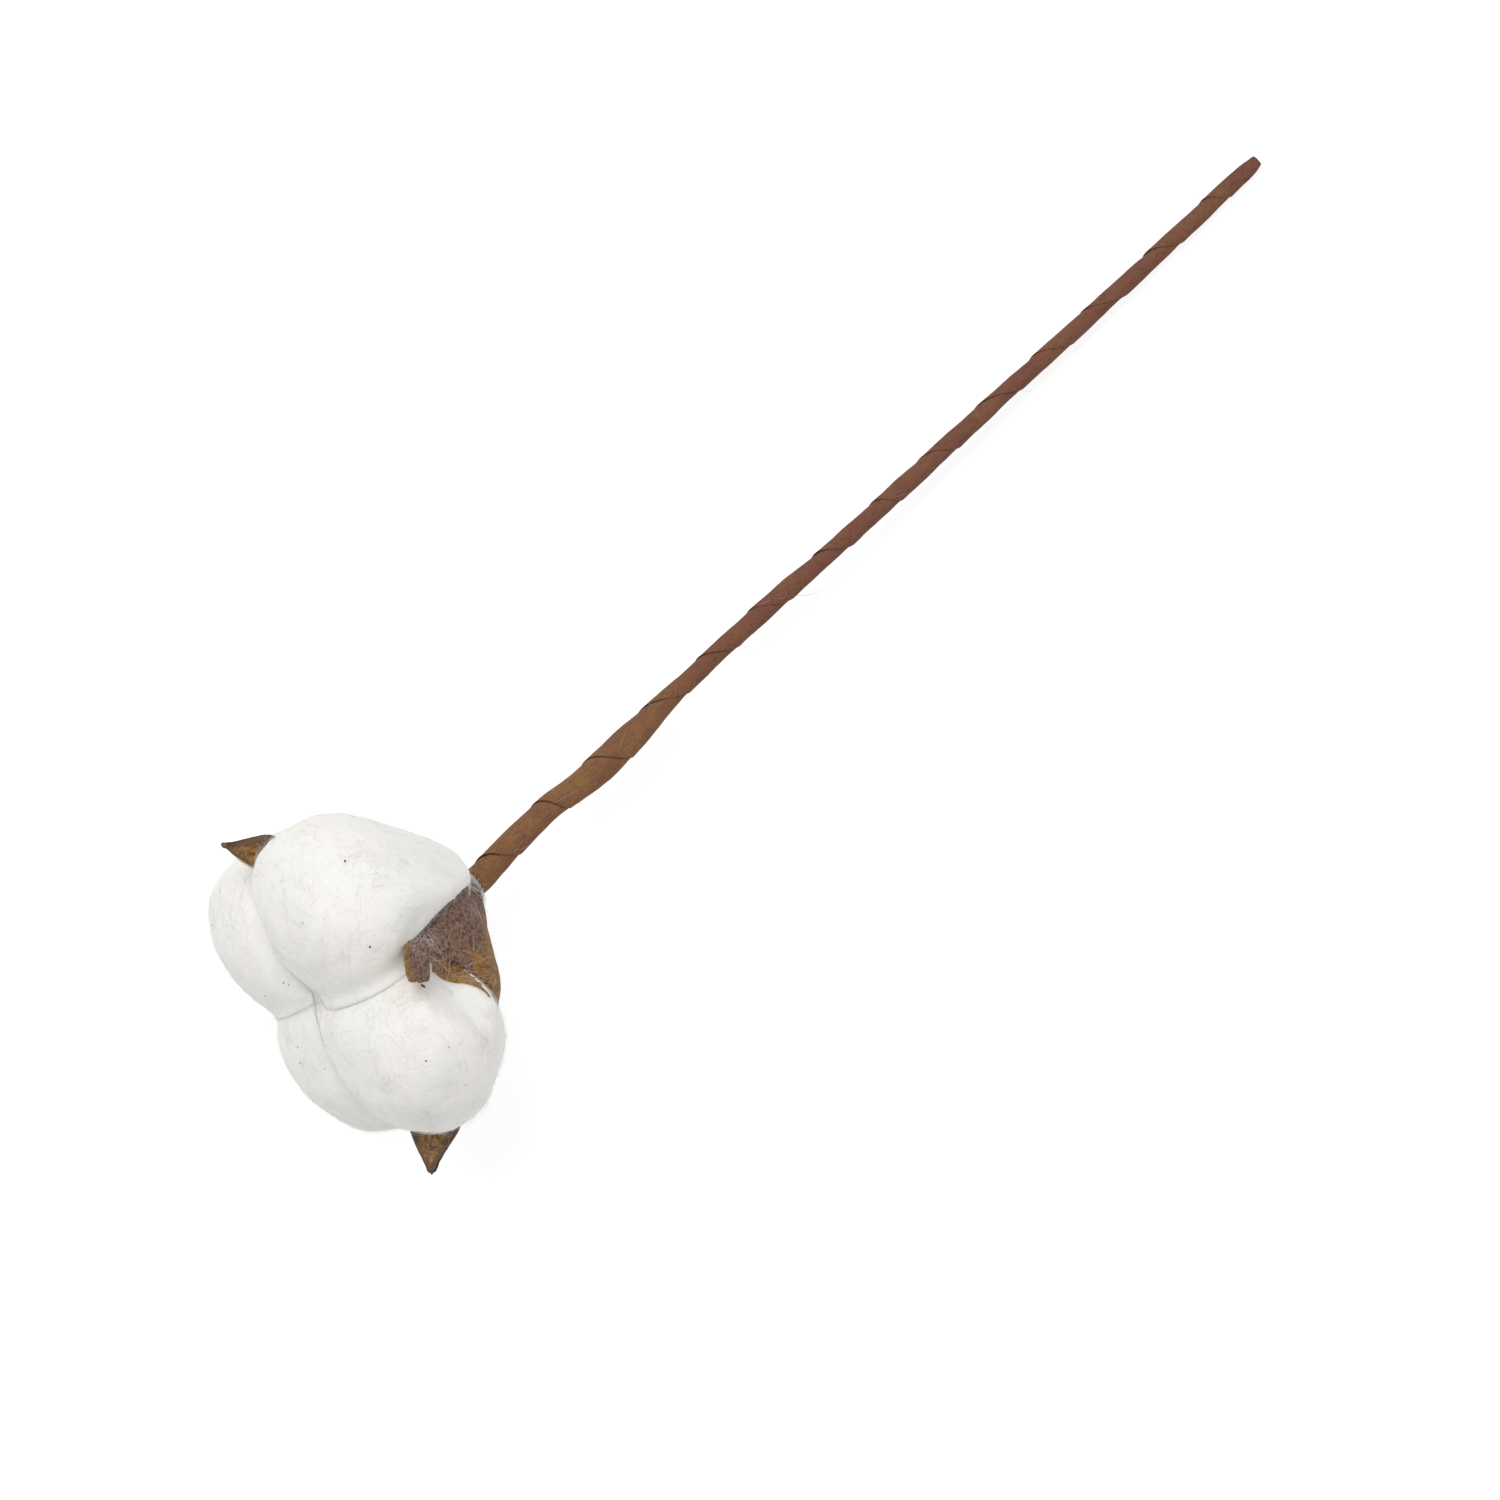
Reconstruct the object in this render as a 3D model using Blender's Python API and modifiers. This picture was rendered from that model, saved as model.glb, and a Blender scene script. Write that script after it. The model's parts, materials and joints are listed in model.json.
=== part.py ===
"""One preserved cotton boll on its wrapped stem, lying on a surface as it was picked and dressed.

The opened capsule, the bur, has four valves round a shallow cup. A lock of lint fills the space between
each two valves and swells over the cup's edge. The bur's own stalk is spliced to a steel wire, and a band
of brown paper is wound over both. Everything is in metres, +Z up, with +X running down the stem.
"""

import math

import bmesh
import bpy
from mathutils import Matrix, Vector, noise

MM = 0.001

# The boll's own frame: its origin is where the stalk meets the bur, and its Z runs to the open face.
JOINT_HEIGHT = 15.2 * MM
BOLL_HEADING = math.radians(174.9)
BOLL_RISE = math.radians(19.5)

# Clearance between pieces that touch, and the distance under which two points are one.
GAP = 0.3 * MM
ROOM = 0.36 * MM
ROOM_CORNER = 1.3
WELD = 0.01 * MM

# The bur: a shallow cup, turned by this outline of (radius, height) in mm, and four valves that rise from
# its edge to pointed tips. A valve's half-widths, in mm, are given along its length from 0 to 1. Its tip is
# at a (radius, height) in mm, it turns about its own length by its twist in degrees, and spread is how far
# its base bulges.
CUP_OUTLINE = [(0.0, 0.0), (2.4, 0.9), (5.4, 3.0), (8.8, 5.0), (11.8, 6.6), (14.0, 8.4), (15.4, 10.8)]
BUR_WALL = 0.9 * MM
VALVE_BEND = (0.28, 0.62)
VALVE_WIDTHS = [(0.0, 13.0), (0.06, 9.4), (0.14, 7.0), (0.24, 5.4), (0.38, 4.4), (0.52, 3.9),
                (0.64, 3.8), (0.74, 3.5), (0.83, 2.5), (0.92, 1.3), (1.0, 0.35)]
VALVE_HOLLOW = 1.0 * MM
TWIST_SPAN = (0.4, 0.8)
SPREAD_CURVE = 1.5
LIP_FLARE = 1.5 * MM
LIP_REACH = 0.22
COLUMNS_ACROSS_VALVE = 8
STEPS_ALONG_VALVE = 40
VALVES = [
    {"angle": 352.0, "tip": (31.1, 32.0), "twist": -62.0, "spread": 2.8, "breadth": 1.0},
    {"angle": 76.0, "tip": (29.0, 25.4), "twist": 10.0, "spread": 0.0, "breadth": 0.8},
    {"angle": 170.0, "tip": (27.8, 29.0), "twist": 62.0, "spread": 0.8, "breadth": 1.0},
    {"angle": 262.0, "tip": (25.3, 28.2), "twist": -24.0, "spread": 1.2, "breadth": 0.9},
]

# The locks of lint: each one's middle (its angle, then out from and up along the boll's axis, in mm), and
# its reach from there: outwards, sideways, towards the open face, and back towards the stem. Beside the
# cup and the valves' lower halves, it starts this many degrees from a valve's middle line.
LOCKS = [
    {"name": "lock_right", "angle": 33.0, "out": 17.6, "up": 24.0, "deep": 12.5, "wide": 14.8,
     "face": 12.6, "back": 11.8, "fullness": 2.05, "shy": 15.0},
    {"name": "lock_upper", "angle": 127.0, "out": 15.4, "up": 18.6, "deep": 13.2, "wide": 15.6,
     "face": 15.2, "back": 17.4, "fullness": 2.2, "shy": 6.0},
    {"name": "lock_left", "angle": 225.5, "out": 15.8, "up": 21.4, "deep": 13.8, "wide": 13.8,
     "face": 14.2, "back": 17.0, "fullness": 2.2, "shy": 8.0},
    {"name": "lock_lower", "angle": 305.0, "out": 15.6, "up": 22.2, "deep": 13.8, "wide": 14.8,
     "face": 15.0, "back": 17.4, "fullness": 2.2, "shy": 8.0},
]
LOCK_FINENESS = 4
CORE_OVERLAP = 3.5
LINT_STARTS = 1.3 * MM
SEPTUM_GAP = 0.17 * MM
# How far lint may swell from the boll's axis at each height, and how it rises beside a valve: the ramp in
# degrees and the swelling in mm, along the valve's lower half and beside its tip.
LINT_OUTLINE = [(0.0, 5.0), (2.1, 9.0), (7.2, 16.0), (11.9, 22.0), (16.0, 27.0), (21.5, 31.5), (30.0, 34.0)]
LOW_GROOVE = (14.0, 9.0)
TIP_GROOVE = (10.0, 14.0)
GROOVE_CURVE = 1.3
GROOVE_DEPTH = 1.1 * MM
LEAST_LINT = 0.6 * MM
TIP_BARE = (19.0 * MM, 24.0 * MM)
SOFT_LIMIT = 12
# The lint's own unevenness: the size of its swellings and how high they stand.
PUFFS = [(9.0 * MM, 0.6 * MM), (4.6 * MM, 0.25 * MM)]

# The stem's course: along X, to the side, up, and the paper's outer radius, in millimetres.
STEM_COURSE = [
    (-1.0, 0.1, 15.55, 2.3), (0.0, 0.0, 15.2, 2.3), (4.0, 0.2, 14.0, 2.25), (9.0, 0.6, 13.05, 2.12),
    (16.0, 0.65, 12.3, 2.0), (21.0, 0.1, 11.85, 2.15), (26.0, -0.15, 11.4, 2.42), (32.0, 0.1, 10.85, 2.3),
    (38.0, 0.4, 10.3, 1.78), (46.0, 0.6, 9.5, 1.56), (60.0, 0.6, 8.25, 1.6), (75.0, 0.2, 6.95, 1.47),
    (90.0, 0.1, 5.75, 1.52), (105.0, 0.1, 4.65, 1.46), (125.0, -0.1, 3.25, 1.44), (143.0, -0.1, 2.1, 1.42),
    (156.0, 0.0, 1.45, 1.38), (160.0, 0.0, 1.34, 1.2), (161.4, 0.0, 1.32, 0.8),
]
# The paper band: each turn runs TAPE_PITCH along the stem, and TAPE_PROFILE gives how far below its upper
# edge it lies, from one edge at 0 to the other at 1, as shares of TAPE_EDGE.
TAPE_START = 0.9 * MM
TAPE_END = 161.2 * MM
TAPE_PITCH = 11.4 * MM
TAPE_EDGE = 0.2 * MM
TAPE_PROFILE = [(0.0, 0.0), (0.45, 0.4), (0.999, 1.0)]
TAPE_SIDES = 16

# The bur's stalk and the wire beside it: radii, and how far each lies from the middle of the paper, in mm.
STALK_START = -1.3 * MM
STALK_END = 30.0 * MM
STALK_RADII = [(-1.5, 1.75), (2.0, 1.6), (14.0, 1.25), (20.0, 0.8), (30.0, 0.7)]
STALK_LIFTS = [(-1.5, 0.0), (14.0, 0.0), (21.0, 0.75), (30.0, 0.75)]
WIRE_START = 21.5 * MM
WIRE_END = 157.0 * MM
WIRE_RADIUS = 0.6 * MM
WIRE_DROPS = [(21.5, 1.0), (31.5, 1.0), (40.0, 0.0), (157.0, 0.0)]
TUBE_STEP = 3.0 * MM
TUBE_BEVEL = 2

MATERIALS = {
    "lint": ((0.93, 0.93, 0.91, 1.0), 0.95, 0.0),
    "bur": ((0.23, 0.13, 0.07, 1.0), 0.7, 0.0),
    "paper": ((0.21, 0.1, 0.055, 1.0), 0.75, 0.0),
    "wire": ((0.35, 0.35, 0.36, 1.0), 0.4, 1.0),
}


def clear_scene():
    for old in list(bpy.data.objects):
        bpy.data.objects.remove(old, do_unlink=True)


def new_collection(name):
    made = bpy.data.collections.new(name)
    bpy.context.scene.collection.children.link(made)
    return made


def new_material(name):
    colour, roughness, metallic = MATERIALS[name]
    made = bpy.data.materials.new(name)
    made.use_nodes = True
    shader = made.node_tree.nodes["Principled BSDF"]
    shader.inputs["Base Color"].default_value = colour
    shader.inputs["Roughness"].default_value = roughness
    shader.inputs["Metallic"].default_value = metallic
    made.diffuse_color = colour
    return made


def new_object(name, mesh, collection, material=None):
    made = bpy.data.objects.new(name, mesh)
    collection.objects.link(made)
    if material:
        mesh.materials.append(material)
        mesh.shade_smooth()
    return made


def make_cutter(obj):
    obj.hide_render = True
    obj.display_type = "WIRE"
    return obj


def add_boolean(obj, other, operation, solver="EXACT"):
    modifier = obj.modifiers.new(f"{operation} {other.name}", "BOOLEAN")
    modifier.operation = operation
    modifier.solver = solver
    modifier.object = other


def straight_between(table, x):
    """The value at x of a table of (x, value) points, joined by straight lines."""
    for (low, first), (high, second) in zip(table, table[1:]):
        if x <= high:
            return first + (second - first) * max(0.0, (x - low) / (high - low))
    return table[-1][1]


def smooth_between(table, x):
    """The values at x of a table of (x, values...) rows, on a Catmull-Rom curve through them."""
    last = len(table) - 2
    i = next((k for k in range(last + 1) if x <= table[k + 1][0]), last)
    before, low, high, after = (table[max(0, min(k, last + 1))] for k in (i - 1, i, i + 1, i + 2))
    span = high[0] - low[0]
    share = max(0.0, min(1.0, (x - low[0]) / span))
    values = []
    for k in range(1, len(low)):
        start_slope = (high[k] - before[k]) / max(high[0] - before[0], 1e-9) * span
        end_slope = (after[k] - low[k]) / max(after[0] - low[0], 1e-9) * span
        squared, cubed = share**2, share**3
        values.append(
            (2 * cubed - 3 * squared + 1) * low[k]
            + (cubed - 2 * squared + share) * start_slope
            + (3 * squared - 2 * cubed) * high[k]
            + (cubed - squared) * end_slope
        )
    return values


def boll_frame():
    """The matrix from the boll's frame to the part's: its X to the side away from +Y, its Y upwards."""
    axis = Vector((
        math.cos(BOLL_HEADING) * math.cos(BOLL_RISE),
        math.sin(BOLL_HEADING) * math.cos(BOLL_RISE),
        math.sin(BOLL_RISE),
    ))
    upward = (Vector((0, 0, 1)) - axis * axis.z).normalized()
    side = upward.cross(axis)
    turned = Matrix((side, upward, axis)).transposed().to_4x4()
    return Matrix.Translation((0, 0, JOINT_HEIGHT)) @ turned


def polar(radius, angle, height):
    return Vector((radius * math.cos(angle), radius * math.sin(angle), height))


def valve_point(valve, share):
    """(radius, height) on a valve's middle line, from the cup's edge at 0 to the tip at 1."""
    edge = [value * MM for value in CUP_OUTLINE[-1]]
    tip = [value * MM for value in valve["tip"]]
    bend = [edge[k] + VALVE_BEND[k] * (tip[k] - edge[k]) for k in (0, 1)]
    return [
        (1 - share) ** 2 * edge[k] + 2 * share * (1 - share) * bend[k] + share**2 * tip[k] for k in (0, 1)
    ]


def half_width_at(valve, share):
    """Half a valve's width at a share of its length, at its own breadth beyond the rim that all share."""
    own = 1 + (valve["breadth"] - 1) * min(1.0, share / LIP_REACH)
    return straight_between(VALVE_WIDTHS, share) * own * MM


def bur_at_height(valve, height):
    """(least radius, half width) of the bur's back on a valve's middle line, at a height from the stalk."""
    if height <= CUP_OUTLINE[-1][1] * MM:
        return max(1.0, straight_between([(up, out) for out, up in CUP_OUTLINE], height / MM)) * MM, 0.0
    shares = [k / STEPS_ALONG_VALVE for k in range(STEPS_ALONG_VALVE + 1)]
    share = straight_between([(valve_point(valve, share)[1], share) for share in shares], height)
    half_width = half_width_at(valve, share)
    twist = abs(valve_twist(valve, share))
    return valve_point(valve, share)[0] - half_width * math.sin(twist), half_width * math.cos(twist)


def valve_twist(valve, share):
    """How far a dried valve has turned about its own length, which grows towards its tip."""
    low, high = TWIST_SPAN
    grown = max(0.0, min(1.0, (share - low) / (high - low)))
    return math.radians(valve["twist"]) * grown * grown * (3 - 2 * grown)


def half_sector(index, side):
    """The angle from a valve's middle to the split beside it, side being 1 or -1."""
    here = VALVES[index]["angle"]
    there = VALVES[(index + side) % len(VALVES)]["angle"]
    return math.radians(((there - here) * side) % 360.0) / 2


def place_on_valve(valve, sector, share, across):
    """A point of a valve's back: share runs from the cup's edge to the tip, across from edge to edge."""
    radius, height = valve_point(valve, share)
    middle = polar(radius, math.radians(valve["angle"]), height)
    ahead = polar(*valve_point_ahead(valve, share)) - middle
    half_width = half_width_at(valve, share)
    lip = max(0.0, 1 - share / LIP_REACH) * across**2
    hollow = VALVE_HOLLOW * across**2 * min(1.0, share / LIP_REACH)
    turn = math.radians(valve["angle"]) + across * min(sector, half_width / radius)
    radius += LIP_FLARE * lip - hollow + spread_at(valve, across, 1 - share)
    flat = polar(radius, turn, height)
    twist = Matrix.Rotation(valve_twist(valve, share), 3, ahead)
    return middle + twist @ (flat - middle)


def spread_at(valve, across, ramp):
    """How far a valve has bent out below its middle, fading to its edges and along it by the ramp."""
    return valve["spread"] * MM * (1 - across**2) * ramp**SPREAD_CURVE


def valve_point_ahead(valve, share):
    """(radius, angle, height) a little further along a valve's middle line."""
    here, before = valve_point(valve, share), valve_point(valve, share - 0.01)
    return 2 * here[0] - before[0], math.radians(valve["angle"]), 2 * here[1] - before[1]


def bur_sheet(name, collection):
    """The bur's outer face as one open sheet: a cup and four valves that part at its edge."""
    bm = bmesh.new()
    cup_rows = len(CUP_OUTLINE) - 1
    shares = [share for share, _ in VALVE_WIDTHS]
    rows = cup_rows + len(shares)
    for index, valve in enumerate(VALVES):
        grid = bmesh.ops.create_grid(
            bm, x_segments=COLUMNS_ACROSS_VALVE, y_segments=rows - 1, size=1.0
        )["verts"]
        for vert in grid:
            across = vert.co.x
            row = round((vert.co.y + 1) / 2 * (rows - 1))
            sector = half_sector(index, 1 if across >= 0 else -1)
            if row < cup_rows:
                radius, height = (value * MM for value in CUP_OUTLINE[row])
                radius += spread_at(valve, across, row / cup_rows)
                vert.co = polar(radius, math.radians(valve["angle"]) + across * sector, height)
            else:
                vert.co = place_on_valve(valve, sector, shares[row - cup_rows], across)
    bmesh.ops.remove_doubles(bm, verts=bm.verts, dist=WELD)
    bmesh.ops.recalc_face_normals(bm, faces=bm.faces)
    outermost = min(bm.faces, key=lambda face: face.calc_center_median().z)
    if outermost.normal.z > 0:
        bmesh.ops.reverse_faces(bm, faces=bm.faces)
    bmesh.ops.transform(bm, matrix=boll_frame(), verts=bm.verts)
    mesh = bpy.data.meshes.new(name)
    bm.to_mesh(mesh)
    bm.free()
    return new_object(name, mesh, collection)


def stem_point(along):
    side, up, radius = smooth_between(STEM_COURSE, along / MM)
    return Vector((along, side * MM, up * MM)), radius * MM


def tube_along_stem(name, start, end, radius_of, lift_of, collection):
    """A closed round rod on the stem's course, with its own radius and its own rise above that course."""
    steps = math.ceil((end - start) / TUBE_STEP)
    curve = bpy.data.curves.new(name, "CURVE")
    curve.dimensions = "3D"
    curve.bevel_depth = 1 * MM
    curve.bevel_resolution = TUBE_BEVEL
    curve.use_fill_caps = True
    spline = curve.splines.new("POLY")
    spline.points.add(steps)
    for k, point in enumerate(spline.points):
        along = start + (end - start) * k / steps
        centre = stem_point(along)[0] + Vector((0, 0, lift_of(along)))
        point.co = (*centre, 1.0)
        point.radius = radius_of(along) / MM
    drawn = bpy.data.objects.new(name, curve)
    collection.objects.link(drawn)
    mesh = finished_mesh(drawn)
    bpy.data.objects.remove(drawn, do_unlink=True)
    bm = bmesh.new()
    bm.from_mesh(mesh)
    bmesh.ops.remove_doubles(bm, verts=bm.verts, dist=WELD)
    bmesh.ops.recalc_face_normals(bm, faces=bm.faces)
    bm.to_mesh(mesh)
    bm.free()
    mesh.name = name
    return new_object(name, mesh, collection)


def stalk_radius(along):
    return straight_between(STALK_RADII, along / MM) * MM


def stalk_lift(along):
    return straight_between(STALK_LIFTS, along / MM) * MM


def wire_lift(along):
    return -straight_between(WIRE_DROPS, along / MM) * MM


def make_bur(parts, cutters, material):
    bur = bur_sheet("bur", parts)
    wall = bur.modifiers.new("wall", "SOLIDIFY")
    wall.thickness = BUR_WALL
    wall.offset = -1
    wall.use_even_offset = True
    stalk = tube_along_stem("stalk", STALK_START, STALK_END, stalk_radius, stalk_lift, cutters)
    make_cutter(stalk)
    add_boolean(bur, stalk, "UNION")
    bur.data.materials.append(material)
    return bur


def finished_mesh(obj):
    """A new mesh of an object as its modifiers leave it."""
    bpy.context.view_layer.update()
    graph = bpy.context.evaluated_depsgraph_get()
    return bpy.data.meshes.new_from_object(obj.evaluated_get(graph))


def make_room(bur, cutters):
    """The bur grown on all sides, which is cut from the lint so that the two never touch."""
    bm = bmesh.new()
    bm.from_mesh(finished_mesh(bur))
    bmesh.ops.remove_doubles(bm, verts=bm.verts, dist=WELD)
    bm.normal_update()
    for vert in bm.verts:
        vert.co += vert.normal * ROOM * min(vert.calc_shell_factor(), ROOM_CORNER)
    mesh = bpy.data.meshes.new("bur_room")
    bm.to_mesh(mesh)
    bm.free()
    return make_cutter(new_object("bur_room", mesh, cutters))


def lint_limit(lock, angle, height):
    """How far out lint may reach: it hugs the cup, swells between the valves and leaves their tips bare."""
    limit = straight_between(LINT_OUTLINE, height / MM) * MM
    low, high = TIP_BARE
    bare = max(0.0, min(1.0, (height - low) / (high - low)))
    for valve in VALVES:
        apart = abs((math.degrees(angle) - valve["angle"] + 180.0) % 360.0 - 180.0)
        radius, half_width = bur_at_height(valve, height)
        clear = lock["shy"] + (math.degrees(half_width / radius) - lock["shy"]) * bare
        ramp, swelling = (a + (b - a) * bare for a, b in zip(LOW_GROOVE, TIP_GROOVE))
        beyond = max(0.0, apart - clear) / ramp
        under = max(LEAST_LINT, radius - BUR_WALL - GROOVE_DEPTH)
        limit = min(limit, under + swelling * MM * beyond**GROOVE_CURVE)
    return limit


def lock_point(lock, direction):
    """The place in the boll's frame of one point of a lock, from its direction on a unit ball."""
    power = lock["fullness"]
    spread = sum(abs(value) ** power for value in direction) ** (-1 / power)
    depthwise = lock["deep"] if direction.x > 0 else lock["out"] + CORE_OVERLAP
    lengthwise = lock["face"] if direction.z > 0 else lock["back"]
    reach = Vector((depthwise, lock["wide"], lengthwise))
    place = Vector((lock["out"], 0.0, lock["up"])) + spread * reach * direction
    place *= MM
    for size, depth in PUFFS:
        place += direction * depth * noise.noise(place / size + Vector((lock["angle"], 0, 0)))
    place.rotate(Matrix.Rotation(math.radians(lock["angle"]), 3, "Z"))
    radius, limit = math.hypot(place.x, place.y), lint_limit(lock, math.atan2(place.y, place.x), place.z)
    drawn_in = (1 + (radius / limit) ** SOFT_LIMIT) ** (-1 / SOFT_LIMIT)
    return Vector((place.x * drawn_in, place.y * drawn_in, place.z))


def cut_flat(bm, point, outward):
    """Cuts away what lies beyond a plane, and closes the cut with one flat face."""
    cut = bmesh.ops.bisect_plane(
        bm,
        geom=list(bm.verts) + list(bm.edges) + list(bm.faces),
        dist=1e-7,
        plane_co=point,
        plane_no=outward,
        clear_outer=True,
    )["geom_cut"]
    edges = [item for item in cut if isinstance(item, bmesh.types.BMEdge)]
    bmesh.ops.holes_fill(bm, edges=edges, sides=0)


def neighbours_of(lock):
    """The angles of the two valves that a lock lies between, before and after it."""
    turns = sorted((valve["angle"] - lock["angle"]) % 360.0 for valve in VALVES)
    return math.radians(lock["angle"] + turns[-1] - 360.0), math.radians(lock["angle"] + turns[0])


def largest_body(mesh):
    """Keeps only the biggest of a mesh's separate bodies, so that no scrap of lint is left by a cut."""
    bm = bmesh.new()
    bm.from_mesh(mesh)
    bmesh.ops.remove_doubles(bm, verts=bm.verts, dist=WELD)
    left, bodies = set(bm.verts), []
    while left:
        body, edge_of_body = set(), [left.pop()]
        while edge_of_body:
            vert = edge_of_body.pop()
            body.add(vert)
            for edge in vert.link_edges:
                other = edge.other_vert(vert)
                if other in left:
                    left.discard(other)
                    edge_of_body.append(other)
        bodies.append(body)
    biggest = max(bodies, key=len)
    scraps = [vert for vert in bm.verts if vert not in biggest]
    bmesh.ops.delete(bm, geom=scraps, context="VERTS")
    bm.to_mesh(mesh)
    bm.free()


def make_lock(lock, parts, material, bur, bur_room):
    bm = bmesh.new()
    bmesh.ops.create_icosphere(bm, subdivisions=LOCK_FINENESS, radius=1.0)
    for vert in bm.verts:
        vert.co = lock_point(lock, vert.co.normalized())
    before, after = neighbours_of(lock)
    for angle, side in ((before, -1), (after, 1)):
        outward = Vector((-math.sin(angle), math.cos(angle), 0)) * side
        cut_flat(bm, outward * -SEPTUM_GAP, outward)
    cut_flat(bm, (0, 0, LINT_STARTS), (0, 0, -1))
    bmesh.ops.transform(bm, matrix=boll_frame(), verts=bm.verts)
    cut_flat(bm, (0, 0, 0), (0, 0, -1))
    bmesh.ops.recalc_face_normals(bm, faces=bm.faces)
    mesh = bpy.data.meshes.new(lock["name"] + "_whole")
    bm.to_mesh(mesh)
    bm.free()
    whole = new_object(lock["name"] + "_whole", mesh, parts)
    for solid in (bur_room, bur):
        add_boolean(whole, solid, "DIFFERENCE", "MANIFOLD")
    cut = finished_mesh(whole)
    bpy.data.objects.remove(whole, do_unlink=True)
    largest_body(cut)
    cut.name = lock["name"]
    return new_object(lock["name"], cut, parts, material)


def tape_point(turns, rise, below):
    """A point of the wound paper: how many turns round, how far across the band, and how far it is sunk."""
    along = TAPE_START + TAPE_PITCH * (turns + rise)
    centre, radius = stem_point(max(STEM_COURSE[0][0] * MM, min(TAPE_END, along)))
    ahead = stem_point(along + MM)[0] - stem_point(along - MM)[0]
    ahead.y, ahead.z = (value if 0 < along < TAPE_END else 0.0 for value in (ahead.y, ahead.z))
    ahead.normalize()
    side = Vector((0, 0, 1)).cross(ahead).normalized()
    upward = ahead.cross(side)
    angle = 2 * math.pi * turns
    centre.x = along
    return centre + (side * math.cos(angle) + upward * math.sin(angle)) * (radius - below * TAPE_EDGE)


def make_tape(parts, cutters, material):
    """The paper band, wound in a helix so that each turn's edge stands a little proud of the one before."""
    turns = math.ceil((TAPE_END - TAPE_START) / TAPE_PITCH) + 2
    bm = bmesh.new()
    stations = []
    for k in range(-2 * TAPE_SIDES, turns * TAPE_SIDES + 1):
        stations.append([bm.verts.new(tape_point(k / TAPE_SIDES, *point)) for point in TAPE_PROFILE])
    for here, there in zip(stations, stations[1:]):
        for j in range(len(TAPE_PROFILE) - 1):
            bm.faces.new((here[j], here[j + 1], there[j + 1], there[j]))
    for k in range(len(stations) - TAPE_SIDES - 1):
        low, low_next = stations[k][-1], stations[k + 1][-1]
        high, high_next = stations[k + TAPE_SIDES][0], stations[k + TAPE_SIDES + 1][0]
        bm.faces.new((low, high, high_next, low_next))
    cut_flat(bm, (TAPE_START, 0, 0), (-1, 0, 0))
    cut_flat(bm, (TAPE_END, 0, 0), (1, 0, 0))
    bmesh.ops.remove_doubles(bm, verts=bm.verts, dist=WELD)
    bmesh.ops.recalc_face_normals(bm, faces=bm.faces)
    mesh = bpy.data.meshes.new("stem_paper")
    bm.to_mesh(mesh)
    bm.free()
    tape = new_object("stem_paper", mesh, parts, material)
    stalk_room = tube_along_stem(
        "stalk_room", STALK_START, STALK_END + 2 * GAP, lambda x: stalk_radius(x) + GAP, stalk_lift, cutters
    )
    wire_room = tube_along_stem(
        "wire_room", WIRE_START - 2 * GAP, WIRE_END + 2 * GAP, lambda x: WIRE_RADIUS + GAP, wire_lift, cutters
    )
    for room in (stalk_room, wire_room):
        add_boolean(tape, make_cutter(room), "DIFFERENCE")
    return tape


def make_wire(parts, material):
    wire = tube_along_stem("stem_wire", WIRE_START, WIRE_END, lambda x: WIRE_RADIUS, wire_lift, parts)
    wire.data.materials.append(material)
    return wire


def centre_on_base(parts, cutters):
    """Moves everything so that the origin lies under the middle of the part's own box."""
    bpy.context.view_layer.update()
    graph = bpy.context.evaluated_depsgraph_get()
    corners = [
        part.matrix_world @ Vector(vert.co)
        for part in parts.objects
        for vert in part.evaluated_get(graph).data.vertices
    ]
    low = [min(corner[k] for corner in corners) for k in range(3)]
    high = [max(corner[k] for corner in corners) for k in range(3)]
    middle = Vector(((low[0] + high[0]) / 2, (low[1] + high[1]) / 2, low[2]))
    for obj in list(parts.objects) + list(cutters.objects):
        obj.location -= middle


def main():
    clear_scene()
    parts = new_collection("cotton_boll")
    cutters = new_collection("cutters")
    materials = {name: new_material(name) for name in MATERIALS}
    bur = make_bur(parts, cutters, materials["bur"])
    bur_room = make_room(bur, cutters)
    for lock in LOCKS:
        make_lock(lock, parts, materials["lint"], bur, bur_room)
    make_tape(parts, cutters, materials["paper"])
    make_wire(parts, materials["wire"])
    centre_on_base(parts, cutters)


main()
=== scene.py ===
import json
import math

import bpy
import numpy as np
from mathutils import Matrix, Vector, noise
from mathutils.bvhtree import BVHTree

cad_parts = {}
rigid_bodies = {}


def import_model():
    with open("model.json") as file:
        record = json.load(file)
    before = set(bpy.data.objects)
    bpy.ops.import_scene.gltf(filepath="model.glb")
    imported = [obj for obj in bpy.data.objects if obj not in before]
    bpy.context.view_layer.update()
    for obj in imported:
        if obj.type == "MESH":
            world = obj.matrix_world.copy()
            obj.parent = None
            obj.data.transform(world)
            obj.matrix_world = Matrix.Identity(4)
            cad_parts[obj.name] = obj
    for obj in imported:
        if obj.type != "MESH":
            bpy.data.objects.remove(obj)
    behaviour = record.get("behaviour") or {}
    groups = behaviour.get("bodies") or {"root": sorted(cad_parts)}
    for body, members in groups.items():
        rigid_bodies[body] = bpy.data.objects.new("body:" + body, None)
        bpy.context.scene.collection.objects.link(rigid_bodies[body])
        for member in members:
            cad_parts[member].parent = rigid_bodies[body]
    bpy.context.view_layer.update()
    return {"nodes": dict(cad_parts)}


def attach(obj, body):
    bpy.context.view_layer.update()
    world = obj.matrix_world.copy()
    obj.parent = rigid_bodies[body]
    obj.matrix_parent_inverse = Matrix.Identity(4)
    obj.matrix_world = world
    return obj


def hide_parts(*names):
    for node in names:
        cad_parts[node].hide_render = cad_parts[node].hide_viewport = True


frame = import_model()

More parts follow.
